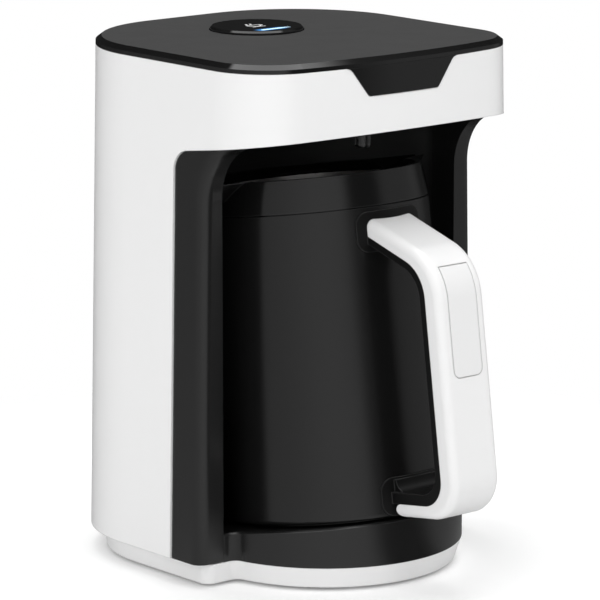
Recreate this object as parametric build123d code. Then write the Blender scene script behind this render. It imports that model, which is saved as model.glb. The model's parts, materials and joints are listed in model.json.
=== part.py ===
from build123d import *

import os
from math import atan2, cos, degrees, radians, sin, sqrt, tan

# Electric coffee maker with a leaning jug: +Z up, the front towards -Y, all sizes in millimetres.
# The origin is on the floor, below the middle of the whole outline with the jug in its place.

# ---------------------------------------------------------------- fits
FIT = 0.2  # gap between fixed pieces that slip into each other
SEAM = 0.3  # visible seam between two covers
RUN = 0.4  # gap round a piece that moves
OVER = 1.0  # how far a cutting shape runs past what it cuts
WELD = 0.5  # how far shapes that form one piece run into each other
REACH = 200.0  # beyond every outline of the machine

# ---------------------------------------------------------------- body outline
HALF_WIDTH = 73.5  # half the body's width at the top of the shell
SHELL_TOP_Z = 216.5
FRONT_Y = 68.5  # body centre to the middle of the front, at the top of the shell
FRONT_ARC_R = 320.0  # the front wall is slightly bowed
FRONT_CORNER_R = 27.5
REAR_CORNER_R = 55.5
REAR_ROOM = 28.2  # power board to the outer face of the rear wall
DRAFT = 4.2  # how much wider the outline is at the floor than at the shell's top
SHELL_WALL = 2.6

# ---------------------------------------------------------------- side opening and head
HEAD_H = 37.2  # lower edge of the band to the shell's top, above the body centre
BAND_TILT = 8.1  # degrees that this edge rises towards the front
CUT_Y = -11.5  # the shell's side walls end here, the dark panels begin
CUT_CORNER_R = 9.0
CEILING_RISE = 6.0  # ceiling above the band's lower edge
CEILING_WALL = 2.0
HEAD_LIP = 1.6  # wall of the rims that locate covers in the shell
HEAD_COVER_END_Y = 45.0
SENSOR_Y = -43.0
SENSOR_R = 3.3
SENSOR_DROP = 13.0  # ceiling to the tip of the sensor's window
SENSOR_TIP_R = 1.0
SENSOR_CAN_R = 4.0
SENSOR_CAN_H = 5.0
SENSOR_HEIGHT = 8.0
WINDOW_LIP = 3.0
WINDOW_LIP_WALL = 1.5

# ---------------------------------------------------------------- jug bay and its lining
POST_WIDTH = 10.0  # side of the bay to the outer face of the body
LINER_WALL = 2.2
HORN_Y = -29.5  # front of the two side posts
HORN_EDGE_R = 5.0
LINER_INSET = 0.8  # the dark panels lie behind the shell's outer face
FLARE_R = 24.0  # the posts sweep forward into the head
LAP_WALL = 1.6  # flange of the lining behind the shell's edge
LAP_REAR = 6.0  # how far the flange reaches behind that edge
LAP_FRONT = 8.0
LAP_BELOW_BAND = 14.3

# ---------------------------------------------------------------- base
FLOOR_GAP = 1.5  # height of the rubber feet below the base
DECK_Z = 10.3
DECK_WALL = 2.0
BASE_WALL = 2.5
BASE_SEAM = 0.5  # shadow gap between the base and the shell
BASE_INSET_TOP = 6.0  # base wall behind the shell's outer face
BASE_INSET_BOTTOM = 6.8
BASE_POST_INSET_TOP = 0.5
BASE_POST_INSET_BOTTOM = 2.0
BASE_CORNER_R = 4.5  # rounding beside the posts and where the round front begins
BASE_RIM_H = 2.0
BASE_RIM_WALL = 7.0
FRONT_BASE_TAPER = 2.9  # the base narrows downwards below the pedestal
PEDESTAL_LEDGE = 8.3  # pedestal beyond the jug's bottom
PEDESTAL_Y = -19.6
PEDESTAL_WALL = 2.5
PEDESTAL_BACK_H = 2.09  # pedestal above the deck at the back of the bay
PEDESTAL_EDGE = 0.8
BAY_FLOOR_SETBACK = 0.3  # front end of the wide bay floor, behind the posts' front
COVER_WALL = 2.0
VENT_LENGTH = 26.0
VENT_WIDTH = 2.4
VENT_PITCH = 6.0
VENT_Y = -8.0
VENTS = 5
FOOT_R = 7.0
FOOT_STEM_R = 4.0
FOOT_SOCKET_WALL = 2.2
REAR_FOOT_STEP = (9.1, 9.8)  # from the shell's screw post to the rear foot
FRONT_FOOT_ANGLE = 46.5  # degrees from straight ahead, seen from the pedestal's centre
FRONT_FOOT_EDGE = 13.8  # edge of the pedestal to the foot's centre
COVER_POST_R = 3.5
COVER_POST_EDGE = 10.1
COVER_POST_ANGLE = 27.4
COVER_POST_SIDE = 27.5  # outer face of the body to a rear post of the bottom cover
COVER_POST_Y = 14.0

# ---------------------------------------------------------------- screws
SCREW_R = 1.5
SCREW_HOLE_GAP = 0.15
SCREW_HEAD_R = 2.8
SCREW_HEAD_H = 1.8
SCREW_SLOT = 0.4  # half the width of a screw's slot
SUNK_HEAD_H = 0.8
POST_R = 4.0
POST_TOP_Z = 26.0
POST_INSET = 11.5  # rear corner of the body to its screw post
POST_RIB = 2.0

# ---------------------------------------------------------------- jug
BAY_CLEARANCE = 13.9  # jug's bottom edge to the side of the bay
REAR_CLEARANCE = 4.42  # back of the jug's rim to the back of the bay
LEAN = 8.0  # degrees that the jug leans back with its seat
JUG_Y = -29.4
JUG_TAPER = 1.1  # radius lost from the bottom to the seam
COLLAR_TAPER = 1.8  # radius lost from the seam to the rim
COLLAR_H = 14.2  # seam to rim
BAND_GAP = 15.08  # rim's centre to the lower edge of the band
JUG_WALL = 2.2
COLLAR_WALL = 2.6
SPIGOT_WALL = 1.6
SPIGOT_H = 6.0
SEAM_LINE = 0.6
FOOT_RING_H = 1.2
FOOT_RING_INSET = 5.6
FOOT_RING_WALL = 3.0
SEAT_GAP = 0.3
JUG_EDGE_R = 2.2
JUG_BASE_WALL = 2.4
SEAL_WALL = 1.7
SEAL_H = 4.0
SEAL_DROP = 1.0  # pot's rim to the seal's top
SEAL_FIT = 0.05
POT_WALL = 0.7
POT_FLOOR_H = 16.0
POT_EDGE_R = 5.0
POT_DROP = 4.3  # pot's rim below the jug's rim
SPOUT_GAP = 2.7  # tip of a spout to the side of the bay
SPOUT_HALF_ANGLE = 18.0
SPOUT_DEPTH = 10.5
SPOUT_TIP_DEPTH = 4.6
SPOUT_TIP_HALF = 3.6
SPOUT_WALL = 1.8
SPOUT_ROOT = 4.0  # how far a spout's root lies inside the rim
SPOUT_ROOT_KEEL_R = 2.5
SPOUT_TIP_KEEL_R = 1.2

# ---------------------------------------------------------------- heating in the jug
PLATE_MARGIN = 6.0  # pot's wall to the edge of the heating plate
PLATE_H = 3.0
COIL_INSET = 8.4  # edge of the heating plate to the middle of its coil
COIL_TUBE_R = 3.0
COIL_OPENING = 7.0
CUTOUT_R = 7.0
CUTOUT_CAP_R = 5.0
CUTOUT_FLANGE = 4.0
CUTOUT_H = 7.0
JUG_POST_R = 3.0
JUG_POST_EDGE = 2.0  # edge of the heating plate to the middle of its posts
JUG_POST_ANGLE = 27.3
DRAIN_R = 1.5
DRAINS = (-8, 0, 8)
DRAIN_Y = -20.0

# ---------------------------------------------------------------- connector of the jug
DOCK_HALF = 13.0
DOCK_GAP = 1.0  # jug's wall to the dock
DOCK_DEPTH = 10.0
DOCK_TOP = 14.0
DOCK_CORNER_R = 2.5
DOCK_EDGE_R = 1.5
BLADES = (-6.0, 0.0, 6.0)
BLADE_Z0 = 4.5
BLADE_Z1 = 9.5
BLADE_HALF = 0.5
BLADE_REACH = 9.0
BLADE_SLOT = 0.4  # room round a blade in the socket
SOCKET_HALF = 10.8
SOCKET_Z0 = 2.8
SOCKET_Z1 = 11.2
SOCKET_DEPTH = 10.8
SOCKET_GAP = 0.6  # socket to the jug's inner wall
SOCKET_SLOT_END = 2.5
SPRING_LEAF = 0.24
SPRING_LEAF_GAP = 0.12
SPRING_LEAF_LENGTH = 6.4

# ---------------------------------------------------------------- handle
GRIP_REACH = 39.3  # jug's seam to the outer face of the grip
GRIP_HALF_WIDTH = 12.7
GRIP_DEPTH = 8.3
GRIP_SKIN = 2.2
GRIP_EDGE_R = 3.6
GRIP_CORNER_R = 24.0
GRIP_LOW_R = 17.0
GRIP_MOUNT_DROP = 5.6  # seam to the root of the upper arm
GRIP_FALL = 13.5  # how far the upper arm falls ...
GRIP_FALL_RUN = 29.8  # ... over this distance
ARM_DEPTH = 6.6  # pale half of the upper arm
ARM_ROOT = 2.0  # jug's wall to the point where the arm's height is measured
LOW_ARM_DEPTH = 5.7  # pale half of the lower arm
CORE_DEPTH = 3.0
LOW_CORE_DEPTH = 4.7
HANDLE_SHADOW = 0.15  # the dark half's clearance to the pale half
FLANGE_HALF = 17.0
FLANGE_RISE = 0.8  # the flanges follow the jug's wall
FLANGE_CORNER_R = 5.5
UPPER_FLANGE_H = 16.7
UPPER_FLANGE_ABOVE_MOUNT = 4.0
LOWER_FLANGE_Z = 0.6
LOWER_FLANGE_TOP = 16.4
LOWER_HOLLOW_R = 5.0  # hollow between the lower arm and its flange
LOWER_HOLLOW_INSET = 1.5
PAD_HALF = 7.6
PAD_LENGTH = 45.0
PAD_BELOW_BEND = 5.5
PAD_CORNER_R = 3.0
PAD_WALL = 1.0
PAD_REACH = 12.0  # how far the pad follows the bend towards the jug
HANDLE_SCREW_LOW_H = 6.6
HANDLE_SCREW_DROP = 8.0

# ---------------------------------------------------------------- top plate, badge and button
PLATE_SIDE = 1.7
PLATE_BEVEL = 1.8
PLATE_BEVEL_INSET = 2.5
PLATE_WALL = 2.2
PLATE_RIM_H = 4.0
PLATE_RIM_WALL = 1.5
PLATE_POST_R = 3.0
PLATE_POST_GAP = 7.5  # button's edge to the posts of the control board
PLATE_POST_ANGLES = (30, 150, 270)
BADGE_TOP_HALF = 27.8
BADGE_BOTTOM_HALF = 18.5
BADGE_CORNER_R = 1.6
BADGE_NECK_R = 4.0
BADGE_H = 11.9
BADGE_DEPTH = 1.2
BADGE_PROUD = 0.3
BUTTON_Y = 24.9
BUTTON_R = 19.7
BUTTON_RISE = 1.6  # button face above the plate
BUTTON_TRAVEL = 1.4
BUTTON_WALL = 1.8
BUTTON_ROOF = 3.0
BUTTON_SKIRT = 5.0
BUTTON_EDGE = 0.8
STEM_R = 3.0
STEM_GAP = 0.1  # stem to the switch with the button pressed
LENS_LENGTH = 15.5
LENS_WIDTH = 2.0
LENS_OFFSET = 12.5  # button's centre to the light bar
LENS_GAP = 0.05
LENS_FOOT = 1.0
GUIDE_WALL = 1.8
GUIDE_FLOOR = 1.5
SPRING_R = 5.2
SPRING_WIRE = 0.6
SPRING_TURNS = 5.5
SPRING_SEAT = 0.8

# ---------------------------------------------------------------- control board below the plate
CONTROL_DROP = 11.9  # shell's top to the board's upper face
CONTROL_WALL = 1.6
CONTROL_MARGIN = 6.2
CONTROL_FRONT = 6.5
CONTROL_REAR = 12.25
SWITCH_HALF = 3.0
SWITCH_H = 4.0
SWITCH_PLUNGER_R = 1.7
SWITCH_PLUNGER_H = 1.0
LAMP_SIZE = (2.0, 1.4, 0.9)
LAMP_HOLE_R = 1.3
BUZZER_R = 5.0
BUZZER_H = 6.0
BUZZER_AT = (-20.0, -24.0)  # from the button's centre
BUZZER_HOLE_R = 1.0

# ---------------------------------------------------------------- electronics behind the bay
BOARD_GAP = 5.8  # bay's wall to the power board
BOARD_WALL = 1.6
BOARD_HALF = 34.0
BOARD_RISE = 55.7  # deck to the board's lower edge
BOARD_H = 76.0
BOARD_POST_X = 28.0
BOARD_POST_EDGE = 6.0
BOARD_POST_R = 3.0
BOARD_SCREW_DEPTH = 7.0
RELAY_SIZE = (18.0, 15.0, 22.0)
RELAY_X = -15.0
RELAY_BELOW_TOP = 19.0
COIL_CORE_SIZE = (22.0, 16.0, 18.0)
COIL_BOBBIN_SIZE = (14.0, 18.0, 24.0)
TRANSFORMER_X = 15.0
TRANSFORMER_BELOW_TOP = 25.0
CAPACITOR_R = 6.0
CAPACITOR_H = 14.0
CAPACITOR_X = 14.0
CAPACITOR_RISE = 16.0
CAPACITOR_VENT = (1.0, 0.6)
TERMINAL_SIZE = (24.0, 12.0, 9.0)
TERMINAL_GAP = 3.0  # front of the power board to the terminal block
TERMINAL_HOLE_R = 1.8
TERMINAL_HOLE_DEPTH = 3.0
TERMINALS = (-8, 0, 8)
CLAMP_GAP = 2.0
CLAMP_WIDTH = 22.0
CLAMP_DEPTH = 6.0
CLAMP_LEG = 5.0
LEAD_R = 3.4  # room for the mains lead in the clamp and the bush
CLAMP_BAR_Z = 2.6  # lead's axis to the underside of the clamp's bar
CLAMP_BAR_H = 3.4
WIRE_R = 1.1
WIRE_BEND = 5.0
WIRE_SPREAD = 2.2
WIRE_OFF_BOARD = 4.0
WIRE_RISE = 39.7  # deck to the first bend of a wire
WIRE_LEAN = 12.0
WIRE_OVERLAP = 3.0

# ---------------------------------------------------------------- bush for the mains lead
GLAND_Z = 24.0
GLAND_R = 5.5
GLAND_FLANGE = 2.0
GLAND_LIP = 2.5
GLAND_LIP_EDGE = 0.6
GLAND_NUT_LIP = 2.0
GLAND_NUT_H = 2.4
GLAND_NUT_GAP = 0.6
GLAND_NECK_END = 2.5

# ---------------------------------------------------------------- sizes that follow from these
SHELL_BOTTOM_Z = DECK_Z + BASE_SEAM
BAND_Z = SHELL_TOP_Z - HEAD_H
BAY_R = HALF_WIDTH - POST_WIDTH
JUG_BOTTOM_R = BAY_R - BAY_CLEARANCE
JUG_SEAM_R = JUG_BOTTOM_R - JUG_TAPER
JUG_RIM_R = JUG_SEAM_R - COLLAR_TAPER
LEAN_COS = cos(radians(LEAN))
LEAN_TAN = tan(radians(LEAN))
SEAT_DEPTH = FOOT_RING_H + SEAT_GAP  # jug's bottom to the top of the pedestal
SEAT_TO_RIM = BAND_Z - BAND_GAP - DECK_Z - PEDESTAL_BACK_H - SEAT_DEPTH / LEAN_COS
# The leaning rim keeps its clearance, and the sloping seat ends on the deck at the back of the bay.
BAY_BACK_Y = JUG_Y + LEAN_COS**2 * (REAR_CLEARANCE + LEAN_COS * JUG_RIM_R + LEAN_TAN * SEAT_TO_RIM)
BAY_Y = BAY_BACK_Y - BAY_R  # centre of the round back of the bay
BOARD_Y = BAY_BACK_Y + LINER_WALL + BOARD_GAP
BOARD_BACK_Y = BOARD_Y + BOARD_WALL
BOARD_Z0 = DECK_Z + BOARD_RISE
BOARD_Z1 = BOARD_Z0 + BOARD_H
REAR_Y = BOARD_Y + REAR_ROOM
LAP_TOP_Z = BAND_Z - LAP_BELOW_BAND

REAR_CORNER_X = HALF_WIDTH - REAR_CORNER_R
REAR_CORNER_Y = REAR_Y - REAR_CORNER_R
POST_DIST = REAR_CORNER_R - POST_INSET
POST_X = REAR_CORNER_X + POST_DIST * cos(radians(45))
POST_Y = REAR_CORNER_Y + POST_DIST * sin(radians(45))
POST_REACH = POST_INSET + DRAFT - SHELL_WALL + WELD

POT_R = JUG_RIM_R - COLLAR_WALL - SEAL_WALL
HEATER_R = POT_R - PLATE_MARGIN
COIL_R = HEATER_R - COIL_INSET
SPOUT_TIP_R = BAY_R - SPOUT_GAP
GRIP_R = JUG_SEAM_R + GRIP_REACH
PEDESTAL_R = JUG_BOTTOM_R + PEDESTAL_LEDGE
JUG_Z = DECK_Z + PEDESTAL_BACK_H + LEAN_TAN * (BAY_BACK_Y - JUG_Y) + SEAT_DEPTH / LEAN_COS
JUG_RIM_H = (BAND_Z - BAND_GAP - JUG_Z) / LEAN_COS
JUG_SEAM_H = JUG_RIM_H - COLLAR_H
POT_TOP_H = JUG_RIM_H - POT_DROP
GRIP_MOUNT_H = JUG_SEAM_H - GRIP_MOUNT_DROP
GRIP_TOP_H = GRIP_MOUNT_H - GRIP_FALL
PAD_TOP_H = GRIP_TOP_H - PAD_BELOW_BEND
PAD_BOTTOM_H = PAD_TOP_H - PAD_LENGTH
UPPER_FLANGE_TOP = GRIP_MOUNT_H + UPPER_FLANGE_ABOVE_MOUNT
HANDLE_SCREW_H = (HANDLE_SCREW_LOW_H, GRIP_MOUNT_H - HANDLE_SCREW_DROP)
DOCK_Y0 = JUG_BOTTOM_R + DOCK_GAP
DOCK_Y1 = DOCK_Y0 + DOCK_DEPTH
SOCKET_Y1 = JUG_BOTTOM_R - JUG_WALL - SOCKET_GAP
SOCKET_Y0 = SOCKET_Y1 - SOCKET_DEPTH

PLATE_TOP_Z = SHELL_TOP_Z + PLATE_SIDE + PLATE_BEVEL
PLATE_UNDER_Z = PLATE_TOP_Z - PLATE_WALL
BUTTON_TOP_Z = PLATE_TOP_Z + BUTTON_RISE
BUTTON_ROOF_Z = BUTTON_TOP_Z - BUTTON_ROOF
BADGE_Z = SHELL_TOP_Z - BADGE_H
CONTROL_Z = SHELL_TOP_Z - CONTROL_DROP
CONTROL_LOW_Z = CONTROL_Z - CONTROL_WALL
SWITCH_TOP_Z = CONTROL_Z + SWITCH_H
LENS_Y = BUTTON_Y - LENS_OFFSET
PLATE_POST_DIST = BUTTON_R + PLATE_POST_GAP
PLATE_POSTS = [
    (PLATE_POST_DIST * cos(radians(a)), BUTTON_Y + PLATE_POST_DIST * sin(radians(a)))
    for a in PLATE_POST_ANGLES
]
BOARD_POSTS = [
    (x, z)
    for x in (-BOARD_POST_X, BOARD_POST_X)
    for z in (BOARD_Z0 + BOARD_POST_EDGE, BOARD_Z1 - BOARD_POST_EDGE)
]

# The origin sits midway between the front of the handle and the back of the cord bush.
HANDLE_REACH = (GRIP_R - GRIP_LOW_R) * LEAN_COS - GRIP_LOW_R * sin(radians(LEAN)) + GRIP_LOW_R
GLAND_GROWTH = DRAFT * (SHELL_TOP_Z - GLAND_Z) / SHELL_TOP_Z
GLAND_FACE_Y = REAR_Y + GLAND_GROWTH
ORIGIN_Y = (HANDLE_REACH - JUG_Y - GLAND_FACE_Y - GLAND_FLANGE) / 2


def front_pair(r, angle, centre_y=0.0):
    """Two places at a radius, an angle to either side of straight ahead."""
    x, y = r * sin(radians(angle)), centre_y - r * cos(radians(angle))
    return [(-x, y), (x, y)]


REAR_FEET = [(side * (POST_X - REAR_FOOT_STEP[0]), POST_Y - REAR_FOOT_STEP[1]) for side in (-1, 1)]
FEET = REAR_FEET + front_pair(PEDESTAL_R - FRONT_FOOT_EDGE, FRONT_FOOT_ANGLE, PEDESTAL_Y)
REAR_COVER_POSTS = [(side * (HALF_WIDTH - COVER_POST_SIDE), COVER_POST_Y) for side in (-1, 1)]
COVER_POSTS = REAR_COVER_POSTS + front_pair(PEDESTAL_R - COVER_POST_EDGE, COVER_POST_ANGLE, PEDESTAL_Y)
JUG_POSTS = front_pair(HEATER_R - JUG_POST_EDGE, JUG_POST_ANGLE)


def grow_at(z):
    """Growth of the body outline at height z over its size at the shell's top."""
    return DRAFT * (SHELL_TOP_Z - z) / SHELL_TOP_Z


def band_z(y):
    """Height of the band's lower edge at depth y."""
    return BAND_Z - tan(radians(BAND_TILT)) * y


def jug_radius(h):
    """Outer radius of the jug's body at height h above its bottom."""
    return JUG_BOTTOM_R - JUG_TAPER * h / JUG_SEAM_H


# ---------------------------------------------------------------- basic shapes
def box(x0, x1, y0, y1, z0, z1):
    centre = Pos((x0 + x1) / 2, (y0 + y1) / 2, (z0 + z1) / 2)
    return centre * Box(x1 - x0, y1 - y0, z1 - z0)


def disc(r, z0, z1, x=0.0, y=0.0):
    return Pos(x, y, (z0 + z1) / 2) * Cylinder(r, z1 - z0)


def ring(r_out, r_in, z0, z1, x=0.0, y=0.0):
    return disc(r_out, z0, z1, x, y) - disc(r_in, z0 - OVER, z1 + OVER, x, y)


def cone(r0, r1, z0, z1):
    return Pos(0, 0, (z0 + z1) / 2) * Cone(r0, r1, z1 - z0)


def rod_y(r, y0, y1, x=0.0, z=0.0):
    return Pos(x, (y0 + y1) / 2, z) * Rot(90, 0, 0) * Cylinder(r, y1 - y0)


def group(pieces):
    """Several separate pieces of one kind as one part."""
    return Compound([solid for piece in pieces for solid in piece.solids()])


def outline(grow):
    """Body outline in plan, grown by an amount all round."""
    half, front, rear = HALF_WIDTH + grow, FRONT_Y + grow, REAR_Y + grow
    arc_r = FRONT_ARC_R + grow
    side_y = -front + arc_r - sqrt(arc_r**2 - half**2)
    face = make_face(
        [
            ThreePointArc((-half, side_y), (0, -front), (half, side_y)),
            Line((half, side_y), (half, rear)),
            Line((half, rear), (-half, rear)),
            Line((-half, rear), (-half, side_y)),
        ]
    )
    face = fillet(face.vertices().group_by(Axis.Y)[-1], REAR_CORNER_R + grow)
    corners = [v for v in face.vertices() if abs(v.Y - side_y) < 0.01]
    return fillet(corners, FRONT_CORNER_R + grow)


def body_block(z0, z1, inset=0.0):
    """The tapered body between two heights, inset from its outer face."""
    low = Pos(0, 0, z0) * outline(grow_at(z0) - inset)
    high = Pos(0, 0, z1) * outline(grow_at(z1) - inset)
    return loft([low, high], ruled=True)


def side_slab(points, rounded=()):
    """A (y, z) polygon carried through the whole width; rounded holds (corner index, radius)."""
    face = make_face(Polyline(*points, close=True))
    for index, radius in rounded:
        y, z = points[index]
        near = [v for v in face.vertices() if abs(v.X - y) < 0.01 and abs(v.Y - z) < 0.01]
        face = fillet(near, radius)
    return extrude(Plane.YZ * face, amount=HALF_WIDTH * 2, both=True)


def below_band(raise_by):
    """Everything below a plane parallel to the band's lower edge."""
    high = [(REACH, band_z(REACH) + raise_by), (-REACH, band_z(-REACH) + raise_by)]
    return side_slab([(-REACH, -REACH), (REACH, -REACH)] + high)


def bay_plan(grow, front=-REACH):
    """Plan of the jug bay: straight sides with a round back."""
    half = BAY_R + grow
    depth = BAY_Y - front
    straight = Pos(0, front + depth / 2) * Rectangle(2 * half, depth)
    plan = straight + Pos(0, BAY_Y) * Circle(half)
    return plan - Pos(0, front - REACH / 2) * Rectangle(2 * REACH, REACH)


def bay_block(z0, z1, grow=0.0, front=-REACH):
    return extrude(Pos(0, 0, z0) * bay_plan(grow, front), amount=z1 - z0)


def in_jug(shape):
    """Places a piece drawn about the jug's own axis into the machine."""
    return Pos(0, JUG_Y, JUG_Z) * Rot(-LEAN, 0, 0) * shape


# ---------------------------------------------------------------- shell and head
def badge_block(grow, inset, proud):
    """Rounded trapezoid patch of the front wall, between two depths of the body."""
    top, bottom = BADGE_TOP_HALF + grow, BADGE_BOTTOM_HALF + grow
    z0, z1 = BADGE_Z - grow, SHELL_TOP_Z
    face = make_face(Polyline((-top, z1), (-bottom, z0), (bottom, z0), (top, z1), close=True))
    face = fillet([v for v in face.vertices() if v.Y < z0 + 0.01], BADGE_CORNER_R)
    face = face + Pos(0, z1 + BADGE_NECK_R) * Rectangle(4 * top, 2 * BADGE_NECK_R)
    neck = [v for v in face.vertices() if abs(v.Y - z1) < 0.01 and abs(v.X) < top + 0.01]
    face = fillet(neck, BADGE_NECK_R) - Pos(0, z1 + REACH / 2) * Rectangle(8 * top, REACH)
    patch = extrude(Plane.XZ * face, amount=REACH)
    skin = body_block(z0 - 2 * OVER, z1, -proud) - body_block(z0 - 3 * OVER, z1 + OVER, inset)
    return patch & skin


def shell_posts():
    """Two screw posts in the rear corners, each joined to the wall by a rib."""
    posts = []
    low = SHELL_BOTTOM_Z + BASE_RIM_H
    for side in (-1, 1):
        x, y = side * POST_X, POST_Y
        angle = 45 if side > 0 else 135
        rib = Pos(x, y, (low + POST_TOP_Z) / 2) * Rot(0, 0, angle) * Pos(POST_REACH / 2, 0, 0)
        rib = rib * Box(POST_REACH, POST_RIB, POST_TOP_Z - low)
        posts.append(disc(POST_R, low, POST_TOP_Z, x, y) + rib)
    return posts


def outer_shell():
    shell = body_block(SHELL_BOTTOM_Z, SHELL_TOP_Z)
    shell -= body_block(SHELL_BOTTOM_Z - OVER, SHELL_TOP_Z + OVER, SHELL_WALL)
    opening = [(CUT_Y, -OVER), (CUT_Y, band_z(CUT_Y)), (-REACH, band_z(-REACH)), (-REACH, -OVER)]
    shell -= side_slab(opening, [(1, CUT_CORNER_R)])
    shell -= badge_block(FIT, BADGE_DEPTH, OVER)
    for post in shell_posts():
        shell += post
    for side in (-1, 1):
        shell -= disc(SCREW_R, 0, POST_TOP_Z - 3, side * POST_X, POST_Y)
    return shell - rod_y(GLAND_R, BOARD_BACK_Y, REAR_Y + REACH, z=GLAND_Z)


def post_profile():
    """Side view of everything behind the posts' front, which sweeps forward below the head."""
    high = SHELL_TOP_Z + OVER
    points = [
        (REACH, 0),
        (REACH, high),
        (-REACH, high),
        (-REACH, band_z(-REACH) - SEAM),
        (HORN_Y, band_z(HORN_Y) - SEAM),
        (HORN_Y, 0),
    ]
    return side_slab(points, [(4, FLARE_R)])


def panel_profile():
    """Side view of the dark side panels, up to the band."""
    rear = CUT_Y - SEAM
    points = [(rear, 0), (rear, band_z(rear) - SEAM), (-REACH, band_z(-REACH) - SEAM), (-REACH, 0)]
    return side_slab(points, [(1, CUT_CORNER_R - SEAM)])


def on_post_front(edge):
    """True for the long edges round the front of the posts and their sweep."""
    centre = edge.center()
    front = centre.Y < HORN_Y + WELD and centre.Z < band_z(centre.Y) + OVER
    return front and edge.length > 3 and centre.Z > SHELL_BOTTOM_Z + OVER and centre.Y > HORN_Y - 60


def side_posts():
    """The dark panels and posts with rounded front edges, still solid."""
    posts = body_block(SHELL_BOTTOM_Z, SHELL_TOP_Z, LINER_INSET) & post_profile()
    posts = fillet([e for e in posts.edges() if on_post_front(e)], HORN_EDGE_R)
    return posts & panel_profile()


def shell_lap():
    """Flange of the lining behind the shell's front edges, with webs to the panels."""
    z0, z1 = SHELL_BOTTOM_Z, SHELL_TOP_Z
    inset = SHELL_WALL + FIT
    lap = body_block(z0, z1, inset) - body_block(z0 - OVER, z1 + OVER, inset + LAP_WALL)
    rear, front = CUT_Y + LAP_REAR, CUT_Y - LAP_FRONT
    lap &= box(-REACH, REACH, front, rear, 0, LAP_TOP_Z)
    for side in (-1, 1):
        x0, x1 = sorted((side * (HALF_WIDTH - 8), side * HALF_WIDTH))
        lap += box(x0, x1, front, front + 2, z0, LAP_TOP_Z)
    return lap & body_block(z0, z1, LINER_INSET + FIT)


def cavity_liner():
    z0, z1 = SHELL_BOTTOM_Z, SHELL_TOP_Z
    skin = side_posts()
    hollow = body_block(z0 - OVER, z1, LINER_INSET + LINER_WALL)
    skin -= hollow & box(-REACH, REACH, HORN_Y + LINER_WALL, 60, z0 - OVER, BAND_Z - FLARE_R)
    wall = bay_block(DECK_Z, z1, LINER_WALL, front=HORN_Y + LINER_WALL)
    wall &= below_band(CEILING_RISE - FIT)
    liner = skin + shell_lap() + wall
    for x, z in BOARD_POSTS:
        wall_y = BAY_Y + sqrt((BAY_R + OVER) ** 2 - x**2)
        liner += rod_y(BOARD_POST_R, wall_y, BOARD_Y, x, z)
        liner -= rod_y(SCREW_R, BOARD_Y - BOARD_SCREW_DEPTH - OVER, BOARD_Y + OVER, x, z)
    return liner - bay_block(0, z1 + OVER)


def head_cover():
    inset = SHELL_WALL + FIT
    low = band_z(REAR_Y)
    slab = body_block(low, SHELL_TOP_Z, inset) & below_band(CEILING_RISE + CEILING_WALL)
    slab -= below_band(FIT)
    slab &= box(-REACH, REACH, -REACH, HEAD_COVER_END_Y, 0, SHELL_TOP_Z + REACH)
    slab -= body_block(low - OVER, SHELL_TOP_Z, inset + HEAD_LIP) & below_band(CEILING_RISE)
    slab -= disc(SENSOR_R + FIT, 0, SHELL_TOP_Z, 0, SENSOR_Y)
    return slab.solids().sort_by(SortBy.VOLUME)[-1]


def sensor_window():
    """Clear finger that reaches down into the bay, with a flange that lies on the ceiling."""
    top = CEILING_RISE + CEILING_WALL
    tip_z = band_z(SENSOR_Y) + CEILING_RISE - SENSOR_DROP
    finger = disc(SENSOR_R, tip_z, SHELL_TOP_Z, 0, SENSOR_Y)
    finger = fillet(finger.edges().group_by(Axis.Z)[0], SENSOR_TIP_R) & below_band(top + WELD)
    flange = disc(SENSOR_R + WINDOW_LIP, 0, SHELL_TOP_Z, 0, SENSOR_Y)
    flange &= below_band(top + WINDOW_LIP_WALL)
    return finger + (flange - below_band(top))


def boil_sensor():
    window_top = CEILING_RISE + CEILING_WALL + WINDOW_LIP_WALL
    z0 = band_z(SENSOR_Y) + window_top + WINDOW_LIP_WALL + WELD
    top = z0 + SENSOR_HEIGHT
    can = disc(SENSOR_CAN_R, z0, z0 + SENSOR_CAN_H, 0, SENSOR_Y)
    housing = ring(SENSOR_R + WINDOW_LIP, SENSOR_CAN_R, z0 - REACH / 10, z0 + SENSOR_CAN_H, 0, SENSOR_Y)
    housing += disc(SENSOR_R + WINDOW_LIP, z0 + SENSOR_CAN_H, top, 0, SENSOR_Y)
    return can + (housing - below_band(window_top))


def top_plate():
    z0, z1, z2 = SHELL_TOP_Z, SHELL_TOP_Z + PLATE_SIDE, PLATE_TOP_Z
    inset = SHELL_WALL + FIT
    low = Pos(0, 0, z1) * outline(grow_at(z1))
    high = Pos(0, 0, z2) * outline(-PLATE_BEVEL_INSET)
    plate = body_block(z0, z1) + loft([low, high], ruled=True)
    plate -= body_block(z0 - OVER, PLATE_UNDER_Z, inset + PLATE_RIM_WALL)
    rim = body_block(z0 - PLATE_RIM_H, z0, inset)
    plate += rim - body_block(z0 - PLATE_RIM_H - OVER, z0 + OVER, inset + PLATE_RIM_WALL)
    for x, y in PLATE_POSTS:
        plate += disc(PLATE_POST_R, CONTROL_Z, PLATE_UNDER_Z + WELD, x, y)
        plate -= disc(SCREW_R, CONTROL_Z - OVER, CONTROL_Z + BOARD_SCREW_DEPTH, x, y)
    return plate - disc(BUTTON_R + RUN, CONTROL_Z, z2 + OVER, 0, BUTTON_Y)


def front_badge():
    return badge_block(0.0, BADGE_DEPTH - FIT, BADGE_PROUD)


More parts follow.
